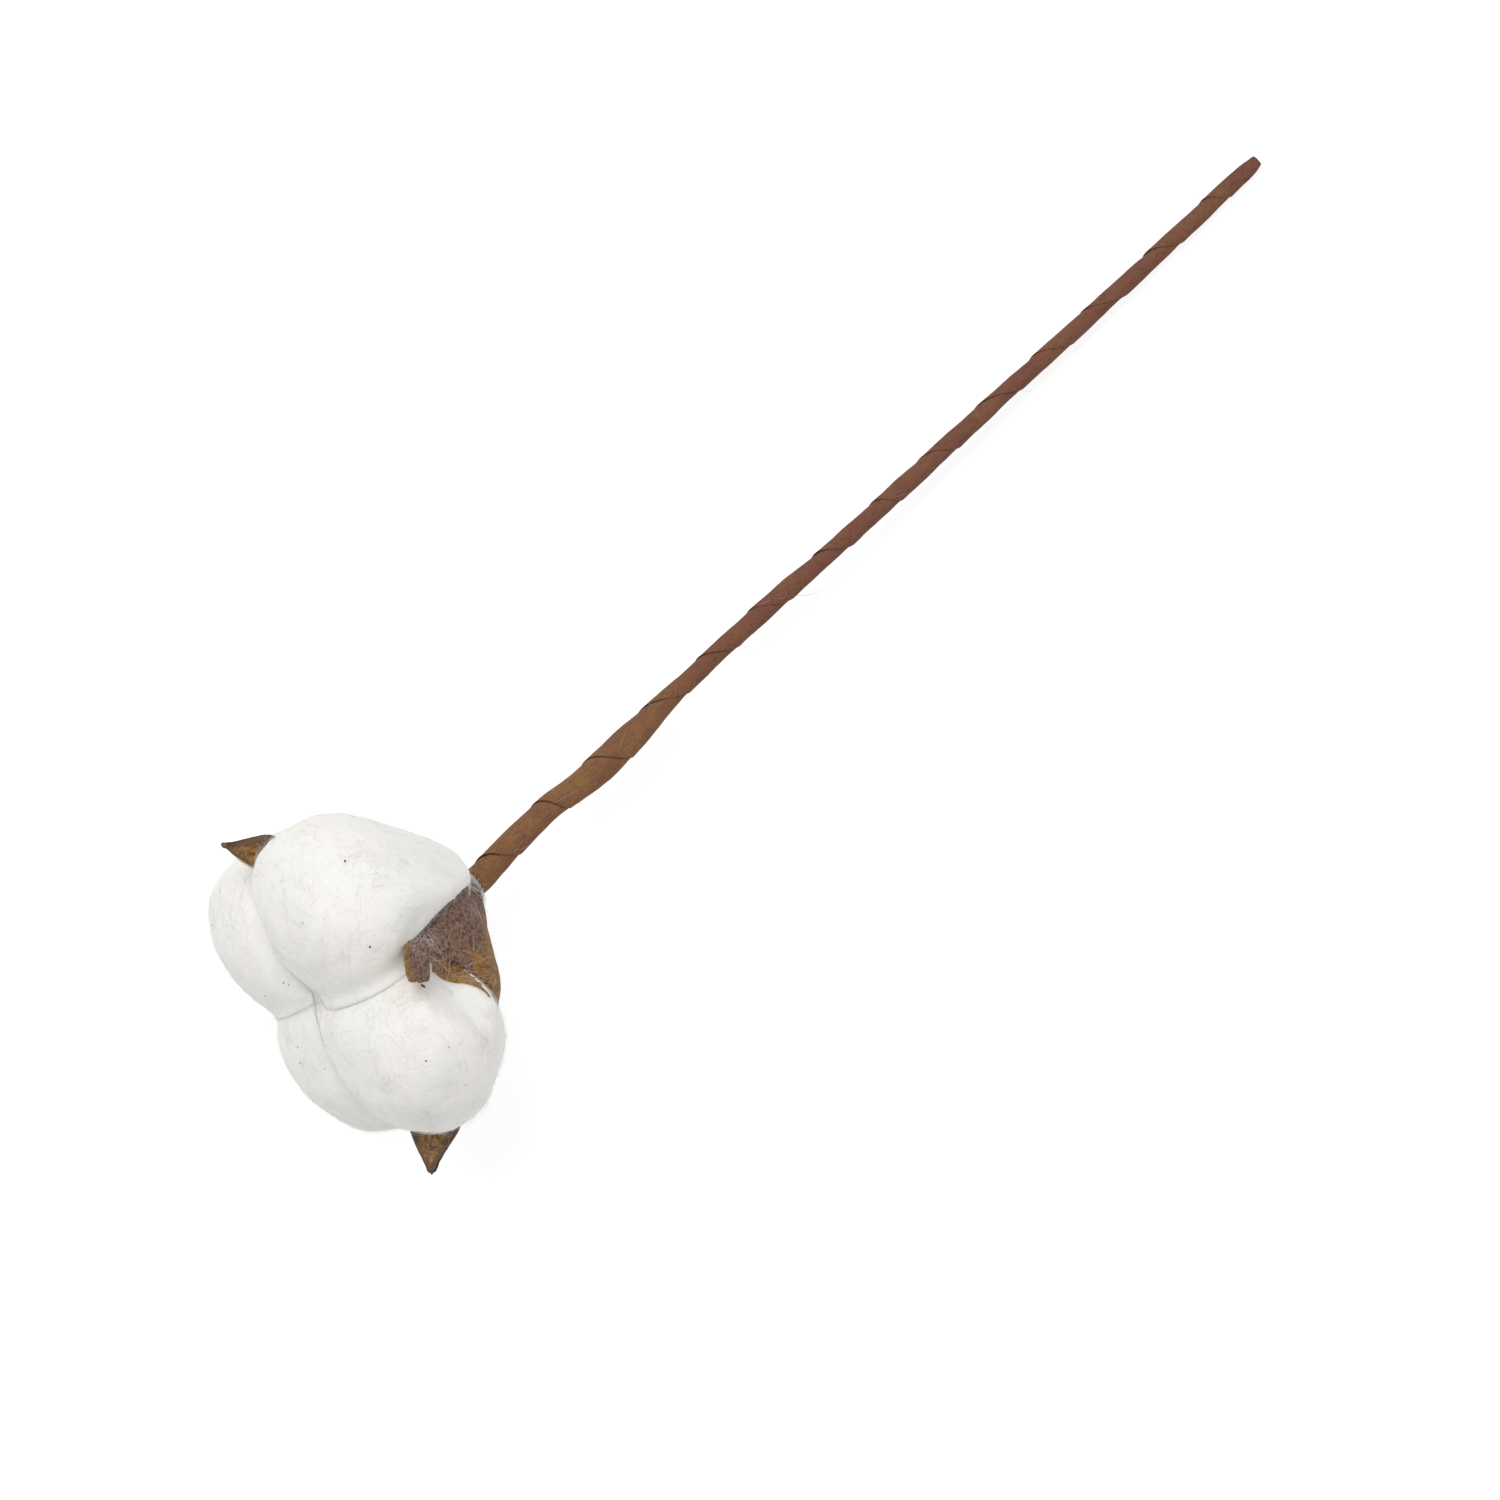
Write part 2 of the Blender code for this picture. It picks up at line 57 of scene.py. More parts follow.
# The camera looks straight down on the boll, from arm's length with a long lens, and is turned so that
# the stem runs to the upper right. Places in the picture are in its own pixels, and JOINT is where the
# stalk meets the bur, in the part's frame.
MM = 0.001
PICTURE_SIZE = 1500
PIXEL = 0.15 * MM
JOINT = Vector((-60.18, -0.84, 15.2)) * MM
JOINT_IN_PICTURE = (476.0, 881.0)
CAMERA_TURN = math.radians(42.74)
CAMERA_DISTANCE = 0.95
SENSOR_WIDTH = 36.0
NEAREST_SEEN = 0.05

picture_right = Vector((math.cos(CAMERA_TURN), -math.sin(CAMERA_TURN), 0))
picture_up = Vector((math.sin(CAMERA_TURN), math.cos(CAMERA_TURN), 0))


def from_picture(x, y):
    """The place at the joint's height that shows at a pixel of the picture."""
    across, down = x - JOINT_IN_PICTURE[0], y - JOINT_IN_PICTURE[1]
    return JOINT + picture_right * across * PIXEL - picture_up * down * PIXEL


picture_middle = from_picture(PICTURE_SIZE / 2, PICTURE_SIZE / 2)
camera_place = picture_middle + Vector((0, 0, CAMERA_DISTANCE))
bpy.ops.object.camera_add(location=camera_place)
camera = bpy.context.object
camera.name = "camera"
camera.matrix_world = Matrix.Translation(camera_place) @ Matrix(
    (picture_right, picture_up, Vector((0, 0, 1)))
).transposed().to_4x4()
camera.data.sensor_width = SENSOR_WIDTH
camera.data.lens = SENSOR_WIDTH * CAMERA_DISTANCE / (PICTURE_SIZE * PIXEL)
camera.data.clip_start = NEAREST_SEEN
bpy.context.scene.camera = camera

# The bur is the boll's dried, opened capsule. It grew as one piece: a shallow cup with four valves that
# part at its edge and rise to pointed tips, and a short stalk below. It is smooth and golden inside, and
# rough, purple-brown and dusty with lint outside. Its radii and heights are in millimetres on its own axis.
BOLL_HEADING = math.radians(174.9)
BOLL_RISE = math.radians(19.5)
CUP_OUTLINE = [(0.0, 0.0), (2.4, 0.9), (5.4, 3.0), (8.8, 5.0), (11.8, 6.6), (14.0, 8.4), (15.4, 10.8)]
CUP_SOFTENING = 0.06
BUR_WALL = 0.9 * MM
VALVE_BEND = (0.28, 0.62)
VALVE_WIDTHS = [(0.0, 13.0), (0.06, 9.4), (0.14, 7.0), (0.24, 5.4), (0.38, 4.4), (0.52, 3.9),
                (0.64, 3.8), (0.74, 3.5), (0.83, 2.5), (0.92, 1.3), (1.0, 0.35)]
WIDTH_SOFTENING = 0.03
POINT_SPAN = (0.5, 0.75)
VALVE_HOLLOW = 1.0 * MM
TWIST_SPAN = (0.4, 0.8)
SPREAD_CURVE = 1.5
LIP_FLARE = 1.5 * MM
LIP_REACH = 0.22
VALVES = [
    {"angle": 352.0, "tip": (31.1, 32.0), "twist": -62.0, "spread": 2.8, "breadth": 1.0, "point": 1.3},
    {"angle": 76.0, "tip": (28.0, 24.2), "twist": 10.0, "spread": 0.0, "breadth": 0.7, "point": 1.0},
    {"angle": 170.0, "tip": (27.8, 29.0), "twist": 62.0, "spread": 0.8, "breadth": 1.0, "point": 1.0},
    {"angle": 262.0, "tip": (25.3, 28.2), "twist": -24.0, "spread": 1.2, "breadth": 0.9, "point": 1.0},
]
FINGER_NUMBER = 1
FINGER = VALVES[FINGER_NUMBER]
FINGER_BLUNT = 0.65
TAPER_START = 0.74
FINGER_LEAN = math.radians(4.5)
LEAN_SPAN = (0, 0.5)
FINGER_HOOK = math.radians(-4.0)
HOOK_SPAN = (0.5, 1)
FINGER_SKEW = 0.1
FINGER_NOTCH = 0.3
NOTCH_RISE = (0.3, 0.5)
NOTCH_FALL = (0.6, 0.95)
ARCH_FULLNESS = 0.25
ARCH_RISE = (0, 0.08)
ARCH_FALL = (0.2, 0.4)
FINGER_BREADTH = 1.1
FINGER_END_LOSS = 0.35
FINGER_END = (0.93, 1.0)
MARGIN_CURL = 0.45 * MM
CURL_ACROSS = (0.55, 1)
CURL_ALONG = (0.3, 0.6)
CUP_ROWS = 14
VALVE_ROWS = 44
VALVE_COLUMNS = 22
EDGE_THINNING = 0.45
THIN_EDGE = (0.7, 1.0)
BUR_RIDGES = 9
BUR_RIDGE_HEIGHT = 0.07 * MM
RIDGE_START = (0, 0.2)
BUR_LUMPS = [(5.0 * MM, 0.25 * MM), (1.3 * MM, 0.12 * MM)]
LINING_EVENNESS = 0.7
BARE_POINT = (0.5, 0.68)
GOLD_FROM_ANGLE = (-30, -5)
GOLD_TO_ANGLE = (40, 72)
GOLD_ON_CUP = (0.2, 0.5)
GOLD_ENDS = (0.3, 0.5)
GOLD_MARGIN = ((0.6, 0.85), (0.1, 0.3))
GOLD_BULB = ((0.1, 0.6), (0.84, 0.95))
PALE_VALVE = VALVES[2]
PALE_ACROSS = (0.7, 0.88)
PALE_FROM = (0.45, 0.55)
PALE_TO = (0.86, 0.96)
WELD = 0.01 * MM


def select_only(piece):
    bpy.ops.object.select_all(action="DESELECT")
    piece.select_set(True)
    bpy.context.view_layer.objects.active = piece


def in_edit_mode(piece, *steps):
    """Runs edit-mode operators on all of a piece's mesh, each given as (operator, its settings)."""
    select_only(piece)
    bpy.ops.object.mode_set(mode="EDIT")
    bpy.ops.mesh.select_all(action="SELECT")
    for operator, settings in steps:
        operator(**settings)
    bpy.ops.object.mode_set(mode="OBJECT")


def apply_modifier(piece, kind, **settings):
    modifier = piece.modifiers.new(kind.lower(), kind)
    for name, value in settings.items():
        setattr(modifier, name, value)
    select_only(piece)
    bpy.ops.object.modifier_apply(modifier=modifier.name)


def read_points(piece, source="vertices", field="co"):
    """A piece's points, or its vertex normals, as rows of three numbers."""
    rows = getattr(piece.data, source)
    values = np.empty(len(rows) * 3)
    rows.foreach_get(field, values)
    return values.reshape(-1, 3)


def write_points(piece, points):
    piece.data.vertices.foreach_set("co", np.asarray(points, dtype=np.float32).ravel())
    piece.data.update()


def write_measure(piece, name, values):
    """Keeps one number for each point of a piece, which its material can read."""
    attribute = piece.data.attributes.get(name) or piece.data.attributes.new(name, "FLOAT", "POINT")
    attribute.data.foreach_set("value", np.asarray(values, dtype=np.float32))


def read_measure(piece, name):
    values = np.empty(len(piece.data.vertices), dtype=np.float32)
    piece.data.attributes[name].data.foreach_get("value", values)
    return values


def eased(table, x, reach):
    """A table of (x, value) points, read as a line whose corners are softened over a reach."""
    at, value = zip(*table)
    return sum(np.interp(x + shift * reach, at, value) for shift in (-1, -0.5, 0, 0.5, 1)) / 5


def ramp(x, low, high):
    """Rises smoothly from 0 at low to 1 at high."""
    share = np.clip((x - low) / (high - low), 0, 1)
    return share * share * (3 - 2 * share)


def unit(vectors):
    return vectors / np.maximum(np.linalg.norm(vectors, axis=-1, keepdims=True), 1e-12)


def lumps(points, sizes):
    """A height for each point, from soft noise of each (size, height)."""
    return np.array([
        sum(height * noise.noise(Vector(point) / size) for size, height in sizes)
        for point in points
    ])


boll_axis = Vector((
    math.cos(BOLL_HEADING) * math.cos(BOLL_RISE),
    math.sin(BOLL_HEADING) * math.cos(BOLL_RISE),
    math.sin(BOLL_RISE),
))
boll_upward = (Vector((0, 0, 1)) - boll_axis * boll_axis.z).normalized()
boll_side = boll_upward.cross(boll_axis)
boll_turn = np.array((boll_side, boll_upward, boll_axis))


def from_boll(points):
    """Points of the boll's own frame in the part's frame."""
    return points @ boll_turn + np.array(JOINT)


def polar(radius, angle, height):
    return np.stack([radius * np.cos(angle), radius * np.sin(angle), height], axis=-1)


def half_sector(index, side):
    """The angle from a valve's middle to the split beside it, side being 1 or -1."""
    here = VALVES[index]["angle"]
    there = VALVES[(index + side) % len(VALVES)]["angle"]
    return math.radians(((there - here) * side) % 360.0) / 2


def valve_middle(valve, share):
    """(radius, height) on a valve's middle line and its slope there, from the cup's edge to the tip."""
    edge = np.array(CUP_OUTLINE[-1]) * MM
    tip = np.array(valve["tip"]) * MM
    bend = edge + np.array(VALVE_BEND) * (tip - edge)
    share = share[:, None]
    place = (1 - share) ** 2 * edge + 2 * share * (1 - share) * bend + share**2 * tip
    slope = 2 * (1 - share) * (bend - edge) + 2 * share * (tip - bend)
    return place[:, 0], place[:, 1], slope


def valve_points(index, across, share):
    """Points of a valve's back: share runs from the cup's edge to the tip, across from edge to edge."""
    valve = VALVES[index]
    facing, taper, own = math.radians(valve["angle"]) + 0 * share, share, 1.0
    if valve is FINGER:
        facing = facing + FINGER_LEAN * ramp(share, *LEAN_SPAN) + FINGER_HOOK * ramp(share, *HOOK_SPAN)
        taper = share - FINGER_BLUNT * np.maximum(0, share - TAPER_START)
        arch = ARCH_FULLNESS * ramp(share, *ARCH_RISE) * (1 - ramp(share, *ARCH_FALL))
        notch = FINGER_NOTCH * ramp(share, *NOTCH_RISE) * (1 - ramp(share, *NOTCH_FALL))
        end = FINGER_BREADTH - FINGER_END_LOSS * ramp(share, *FINGER_END)
        own = (1 + (arch - notch) * (across < 0)) * end
    skew = FINGER_SKEW * across * ramp(share, *HOOK_SPAN) * (valve is FINGER)
    radius, height, slope = valve_middle(valve, share + skew)
    sector = np.where(across >= 0, half_sector(index, 1), half_sector(index, -1))
    own = own * (1 + (valve["breadth"] - 1) * np.minimum(1, share / LIP_REACH))
    own = own * (1 + (valve["point"] - 1) * ramp(share, *POINT_SPAN))
    half_width = eased(VALVE_WIDTHS, taper, WIDTH_SOFTENING) * own * MM
    lip = np.maximum(0, 1 - share / LIP_REACH) * across**2
    hollow = VALVE_HOLLOW * across**2 * np.minimum(1, share / LIP_REACH)
    bulge = valve["spread"] * MM * (1 - across**2) * (1 - share) ** SPREAD_CURVE
    bulge += MARGIN_CURL * ramp(np.abs(across), *CURL_ACROSS) * ramp(share, *CURL_ALONG)
    turn = facing + across * np.minimum(sector, half_width / radius)
    middle = polar(radius, facing, height)
    flat = polar(radius + LIP_FLARE * lip - hollow + bulge, turn, height)
    twist = (math.radians(valve["twist"]) * ramp(share, *TWIST_SPAN))[:, None]
    ahead = unit(polar(slope[:, 0], facing, slope[:, 1]))
    arm = flat - middle
    along_axis = ahead * np.sum(ahead * arm, axis=1, keepdims=True)
    turned = along_axis + (arm - along_axis) * np.cos(twist) + np.cross(ahead, arm) * np.sin(twist)
    return middle + turned


def cup_points(index, across, share):
    """Points of the cup's back in one valve's sector: share runs from the stalk to the cup's edge."""
    valve = VALVES[index]
    steps = np.arange(len(CUP_OUTLINE)) / (len(CUP_OUTLINE) - 1)
    outline = np.array(CUP_OUTLINE) * MM
    radius, height = (eased(list(zip(steps, outline[:, k])), share, CUP_SOFTENING) for k in (0, 1))
    sector = np.where(across >= 0, half_sector(index, 1), half_sector(index, -1))
    bulge = valve["spread"] * MM * (1 - across**2) * share**SPREAD_CURVE
    return polar(radius + bulge, math.radians(valve["angle"]) + across * sector, height)


petals = []
for index, valve in enumerate(VALVES):
    rows = CUP_ROWS + VALVE_ROWS
    bpy.ops.mesh.primitive_grid_add(x_subdivisions=VALVE_COLUMNS, y_subdivisions=rows, size=2)
    petal = bpy.context.object
    grid = read_points(petal)
    across, row = grid[:, 0], np.rint((grid[:, 1] + 1) / 2 * rows)
    cup_share = np.minimum(1, row / CUP_ROWS)
    share = np.maximum(0, (row - CUP_ROWS) / VALVE_ROWS)
    on_cup = cup_points(index, across, cup_share)
    on_valve = valve_points(index, across, share)
    in_boll = np.where((row < CUP_ROWS)[:, None], on_cup, on_valve)
    write_points(petal, from_boll(in_boll))
    write_measure(petal, "across", np.abs(across))
    write_measure(petal, "share", share)
    write_measure(petal, "bare", ramp(share, *BARE_POINT) * (valve is not FINGER))
    angle = np.degrees(np.arctan2(in_boll[:, 1], in_boll[:, 0]))
    gold = ramp(angle, *GOLD_FROM_ANGLE) * (1 - ramp(angle, *GOLD_TO_ANGLE)) * ramp(cup_share, *GOLD_ON_CUP)
    gold = gold * (1 - ramp(share, *GOLD_ENDS))
    if valve is FINGER:
        for span_across, span_along in (GOLD_MARGIN, GOLD_BULB):
            gold = np.maximum(gold, ramp(across, *span_across) * ramp(share, *span_along))
    write_measure(petal, "gold", gold)
    pale_edge = ramp(across, *PALE_ACROSS) * ramp(share, *PALE_FROM) * (1 - ramp(share, *PALE_TO))
    write_measure(petal, "pale", pale_edge * (valve is PALE_VALVE))
    petals.append(petal)

bpy.ops.object.select_all(action="DESELECT")
for petal in petals:
    petal.select_set(True)
husk = petals[0]
bpy.context.view_layer.objects.active = husk
bpy.ops.object.join()
husk.name = "husk"
in_edit_mode(
    husk,
    (bpy.ops.mesh.remove_doubles, {"threshold": WELD}),
    (bpy.ops.mesh.normals_make_consistent, {"inside": False}),
)
outward = read_points(husk, "vertex_normals", "vector")
lowest = np.argmin((read_points(husk) - np.array(JOINT)) @ np.array(boll_axis))
if outward[lowest] @ np.array(boll_axis) > 0:
    in_edit_mode(husk, (bpy.ops.mesh.flip_normals, {}))

thinned = ramp(read_measure(husk, "across"), *THIN_EDGE) * (read_measure(husk, "share") > 0)
thickness = husk.vertex_groups.new(name="wall")
for index, value in enumerate(1 - EDGE_THINNING * thinned):
    thickness.add([index], float(value), "REPLACE")
outer_count = len(husk.data.vertices)
apply_modifier(
    husk, "SOLIDIFY", thickness=BUR_WALL, offset=-1, use_even_offset=True,
    vertex_group="wall", thickness_vertex_group=0.0,
)
write_measure(husk, "inside", np.arange(len(husk.data.vertices)) >= outer_count)
apply_modifier(husk, "SUBSURF", levels=1, render_levels=1)

across, share, inside = (read_measure(husk, name) for name in ("across", "share", "inside"))
points = read_points(husk)
normals = read_points(husk, "vertex_normals", "vector")
ridges = np.cos(across * BUR_RIDGES * math.pi) * BUR_RIDGE_HEIGHT * (1 - inside) * ramp(share, *RIDGE_START)
roughness = lumps(points, BUR_LUMPS) * (1 - LINING_EVENNESS * inside)
write_points(husk, points + normals * (ridges + roughness)[:, None])
husk.data.shade_smooth()


class Shade:
    """A number or colour in a material's nodes. Sums and products of it add the nodes for them."""

    def __init__(self, tree, socket=None):
        self.tree = tree
        self.socket = socket

    def node(self, kind, settings=None, sockets=None, output=0):
        """Adds a node, with its settings and then its sockets' values or links, and gives an output."""
        made = self.tree.nodes.new("ShaderNode" + kind)
        for name, value in (settings or {}).items():
            setattr(made, name, value)
        for name, value in (sockets or {}).items():
            if isinstance(value, Shade):
                self.tree.links.new(value.socket, made.inputs[name])
            else:
                made.inputs[name].default_value = value
        return Shade(self.tree, made.outputs[output])

    def maths(self, operation, *values):
        return self.node("Math", {"operation": operation}, dict(enumerate(values)))

    def __add__(self, other):
        return self.maths("ADD", self, other)

    def __sub__(self, other):
        return self.maths("SUBTRACT", self, other)

    def __rsub__(self, other):
        return self.maths("SUBTRACT", other, self)

    def __mul__(self, other):
        return self.maths("MULTIPLY", self, other)

    __radd__ = __add__
    __rmul__ = __mul__


def between(shade, low, high):
    """0 below low, 1 above high, and smooth between."""
    return shade.node(
        "MapRange", {"interpolation_type": "SMOOTHSTEP"},
        {"Value": shade, "From Min": low, "From Max": high},
    )


def blend(shade, first, second):
    """The first colour where the shade is 0, and the second where it is 1."""
    colours = (value if isinstance(value, Shade) else (*value, 1.0) for value in (first, second))
    return shade.node("Mix", {"data_type": "RGBA"}, {0: shade, **dict(zip((6, 7), colours))}, 2)


def grain(shade, size, detail=4.0, roughness=0.55, distortion=0.0, stretch=(1, 1, 1)):
    """Soft noise from 0 to 1 with spots of about this size in metres, drawn out where stretch is small."""
    place = shade.node("TexCoord", output="Object")
    place = shade.node("Mapping", None, {"Vector": place, "Scale": stretch})
    look = {"Detail": detail, "Roughness": roughness, "Distortion": distortion}
    return shade.node("TexNoise", None, {"Vector": place, "Scale": 1 / size, **look})


def bump(height, strength, distance):
    """A normal that follows a height from 0 to 1, which stands for this distance."""
    sockets = {"Strength": strength, "Distance": distance, "Height": height}
    return height.node("Bump", None, sockets, "Normal")


def new_finish(name):
    """A new material's shade, and the shader that it feeds."""
    material = bpy.data.materials.new(name)
    material.use_nodes = True
    return material, Shade(material.node_tree), material.node_tree.nodes["Principled BSDF"]


def feed(shader, **sockets):
    """Links or sets the shader's sockets, named with _ for each space."""
    for name, value in sockets.items():
        target = shader.inputs[name.replace("_", " ")]
        if isinstance(value, Shade):
            value.tree.links.new(value.socket, target)
        else:
            target.default_value = value


HUSK_PURPLE = (0.195, 0.102, 0.068)
HUSK_DARK = (0.035, 0.019, 0.013)
HUSK_DUST = (0.28, 0.185, 0.15)
HUSK_RUST = (0.21, 0.1, 0.04)
HUSK_GOLD = (0.37, 0.185, 0.046)
HUSK_OLIVE = (0.14, 0.075, 0.026)
HUSK_EDGE = (0.08, 0.042, 0.02)
HUSK_CREAM = (0.74, 0.58, 0.38)
BLOTCH_SIZE = 3.0 * MM
SPECKLE_SIZE = 0.6 * MM
FELT_SIZE = 0.3 * MM
STREAK_SIZE = 1.1 * MM
HUSK_RELIEF = 0.25 * MM

husk_finish, shade, shader = new_finish("dried husk")
across, share, inside, gold, pale, bare = (
    shade.node("Attribute", {"attribute_name": name}, output="Fac")
    for name in ("across", "share", "inside", "gold", "pale", "bare")
)
inside = between(inside, 0.35, 0.65)
blotches = grain(shade, BLOTCH_SIZE)
speckle = grain(shade, SPECKLE_SIZE, 5.0, 0.65)
felt = grain(shade, FELT_SIZE, 4.0, 0.65, 1.5)
streaks = grain(shade, STREAK_SIZE, 4.0, 0.6, 2.0)
golden = blend(between(streaks, 0.36, 0.62), HUSK_OLIVE, HUSK_GOLD)
outer = blend(between(felt, 0.46, 0.68), HUSK_PURPLE, HUSK_DUST)
outer = blend(between(blotches, 0.5, 0.66) * 0.6, outer, HUSK_RUST)
outer = blend(between(speckle, 0.47, 0.6) * 0.85, outer, HUSK_DARK)
outer = blend(between(gold + (blotches + streaks - 1) * 0.9, 0.25, 0.9) * 0.9, outer, golden)
outer = blend(between(speckle, 0.54, 0.66) * gold * 0.5, outer, HUSK_DARK)
inner = blend(between(speckle, 0.55, 0.74) * 0.6, golden, HUSK_DARK)
point_look = blend(between(streaks, 0.27, 0.46), HUSK_EDGE, golden)
point_look = blend(between(across + (blotches - 0.5) * 0.5, 0.45, 0.85) * 0.9, point_look, HUSK_EDGE)
point_look = blend(between(share, 0.9, 1.0) * 0.8, point_look, HUSK_EDGE)
colour = blend(bare, blend(inside, outer, inner), point_look)
colour = blend(pale, colour, HUSK_CREAM)
height = felt * 0.5 * (1 - inside * 0.8) + speckle * 0.5
feed(
    shader,
    Base_Color=colour,
    Roughness=0.85 - inside * 0.3,
    Normal=bump(height, 0.7, HUSK_RELIEF),
)
husk.data.materials.append(husk_finish)
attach(husk, "root")
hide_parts("bur")

# The bur's own stalk below the cup: short, brown and woody, spliced to the wire inside the paper. Its upper
# end grows out of the cup as a narrow neck.
STALK_RADII = [(-3.0, 2.3), (-1.5, 1.85), (2.0, 1.6), (14.0, 1.25)]
STALK_REACH = (-2.4, 9.0)
STALK_RINGS = 16
STALK_SIDES = 28
STEM_COURSE = [
    (-3.0, 0.3, 16.25, 2.0), (-1.0, 0.1, 15.55, 2.2), (0.0, 0.0, 15.2, 2.3), (4.0, 0.2, 14.0, 2.25),
    (9.0, 0.6, 13.05, 2.12), (16.0, 0.65, 12.3, 2.0), (21.0, 0.1, 11.85, 2.15), (26.0, -0.15, 11.4, 2.42),
    (32.0, 0.1, 10.85, 2.3), (38.0, 0.4, 10.3, 1.78), (46.0, 0.6, 9.5, 1.56), (60.0, 0.6, 8.25, 1.6),
    (75.0, 0.2, 6.95, 1.47), (90.0, 0.1, 5.75, 1.52), (105.0, 0.1, 4.65, 1.46), (125.0, -0.1, 3.25, 1.44),
    (143.0, -0.1, 2.1, 1.42), (156.0, 0.0, 1.45, 1.38), (160.0, 0.0, 1.34, 1.2), (161.4, 0.0, 1.32, 0.8),
]


def along_course(x):
    """The stem's middle and radius at each x, on a smooth curve through its course, and its own frame."""
    knots = np.array(STEM_COURSE) * MM
    at, values = knots[:, 0], knots[:, 1:]
    slopes = np.gradient(values, at, axis=0)

    def course(x):
        low = np.clip(np.searchsorted(at, x) - 1, 0, len(at) - 2)
        span = (at[low + 1] - at[low])[:, None]
        t = np.clip((x - at[low]) / span[:, 0], 0, 1)[:, None]
        return (
            (2 * t**3 - 3 * t**2 + 1) * values[low] + (t**3 - 2 * t**2 + t) * slopes[low] * span
            + (3 * t**2 - 2 * t**3) * values[low + 1] + (t**3 - t**2) * slopes[low + 1] * span
        )

    here, ahead = course(x), course(x + MM) - course(x - MM)
    ahead = unit(np.stack([np.full_like(x, 2 * MM), ahead[:, 0], ahead[:, 1]], axis=1))
    side = unit(np.cross((0, 0, 1), ahead))
    middle = np.stack([x + JOINT.x, here[:, 0] + JOINT.y, here[:, 1]], axis=1)
    return middle, here[:, 2], side, np.cross(ahead, side)


bpy.ops.mesh.primitive_cylinder_add(vertices=STALK_SIDES, radius=1, depth=1, location=(0, 0, 0.5))
stalk = bpy.context.object
stalk.name = "stalk"
bpy.ops.object.transform_apply(location=True)
in_edit_mode(stalk, *[
    step
    for k in range(1, STALK_RINGS)
    for step in (
        (bpy.ops.mesh.select_all, {"action": "SELECT"}),
        (bpy.ops.mesh.bisect, {"plane_co": (0, 0, k / STALK_RINGS), "plane_no": (0, 0, 1)}),
    )
])
round_points = read_points(stalk)
start, end = STALK_REACH
at = (start + (end - start) * round_points[:, 2]) * MM
middle, _, side, upward = along_course(at)
thick = np.interp(at / MM, *zip(*STALK_RADII))[:, None] * MM
points = middle + (side * round_points[:, 0:1] + upward * round_points[:, 1:2]) * thick
rough = unit(points - middle) * lumps(points, BUR_LUMPS)[:, None]
write_points(stalk, points + rough)
in_edit_mode(stalk, (bpy.ops.mesh.normals_make_consistent, {"inside": False}))
stalk.data.shade_smooth()
stalk.data.materials.append(husk_finish)
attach(stalk, "root")

# The four locks of lint, one from each chamber of the capsule: a soft, dense mass of fine white seed hair
# that has swollen over the cup's edge. Each starts from the solid that stands for it, is made even, loses
# its hard edges, and gets the lint's own soft tufts. A lock is matt, and light goes some way into it.
LOCKS = ("lock_right", "lock_upper", "lock_left", "lock_lower")
SEPTUM_REACH = 0.25 * MM
SEPTUM_CLOSING = 0.5 * MM
LINT_MESH = 0.38 * MM
LINT_SMOOTHING = 34
CREASE_WIDTH = 2.6 * MM
CREASE_SMOOTHING = 260
CREASE_DEPTH = 0.45 * MM
CREASE_CLEARANCE = (0.9 * MM, 2.4 * MM)
FAINTEST_CREASE = 0.02
LINT_TUFTS = [(9.0 * MM, 0.4 * MM), (3.5 * MM, 0.09 * MM), (1.2 * MM, 0.02 * MM)]
TUFTED = (0.0, 0.5)
MIDDLE_HEIGHT = 19.0
BOLL_MIDDLE = np.array(JOINT + boll_axis * MIDDLE_HEIGHT * MM)
SHARPEST_SMOOTH = math.radians(60)
LINT_WHITE = (0.88, 0.857, 0.828)
LINT_CREAM = (0.85, 0.842, 0.802)
LINT_GREY = (0.8, 0.8, 0.785)
WISP_SIZE = 1.6 * MM
CLOUD_SIZE = 11.0 * MM
LINT_RELIEF = 0.2 * MM
LIGHT_REACH = 1.8 * MM

lint_finish, shade, shader = new_finish("white lint")
wisps = grain(shade, WISP_SIZE, 6.0, 0.62, 1.2)
clouds = grain(shade, CLOUD_SIZE, 3.0)
colour = blend(between(clouds, 0.35, 0.65), LINT_WHITE, LINT_CREAM)
colour = blend(between(wisps, 0.5, 0.8) * 0.25, colour, LINT_GREY)
feed(
    shader,
    Base_Color=colour,
    Roughness=0.95,
    Normal=bump(wisps, 0.2, LINT_RELIEF),
    Specular_IOR_Level=0.1,
    Subsurface_Weight=0.5,
    Subsurface_Radius=(1.0, 1.0, 1.0),
    Subsurface_Scale=LIGHT_REACH,
    Sheen_Weight=0.15,
    Sheen_Roughness=0.6,
)


def septum(valve):
    """The direction across the wall that once parted two chambers at a valve, towards greater angles."""
    angle = math.radians(valve["angle"])
    return boll_turn.T @ np.array((-math.sin(angle), math.cos(angle), 0))


for index, name in enumerate(LOCKS):
    piece = bpy.data.objects.new(name.replace("lock", "lint"), frame["nodes"][name].data.copy())
    bpy.context.scene.collection.objects.link(piece)
    in_edit_mode(piece, (bpy.ops.mesh.remove_doubles, {"threshold": WELD}))
    points = read_points(piece)
    for valve, sign in ((VALVES[index], 1), (VALVES[(index + 1) % len(VALVES)], -1)):
        inward = septum(valve) * sign
        at_septum = (points - np.array(JOINT)) @ inward < SEPTUM_REACH
        points[at_septum] -= inward * SEPTUM_CLOSING
    write_points(piece, points)
bpy.ops.object.select_all(action="DESELECT")
for name in LOCKS:
    bpy.data.objects[name.replace("lock", "lint")].select_set(True)
whole_lint = bpy.data.objects["lint_right"]
bpy.context.view_layer.objects.active = whole_lint
bpy.ops.object.join()
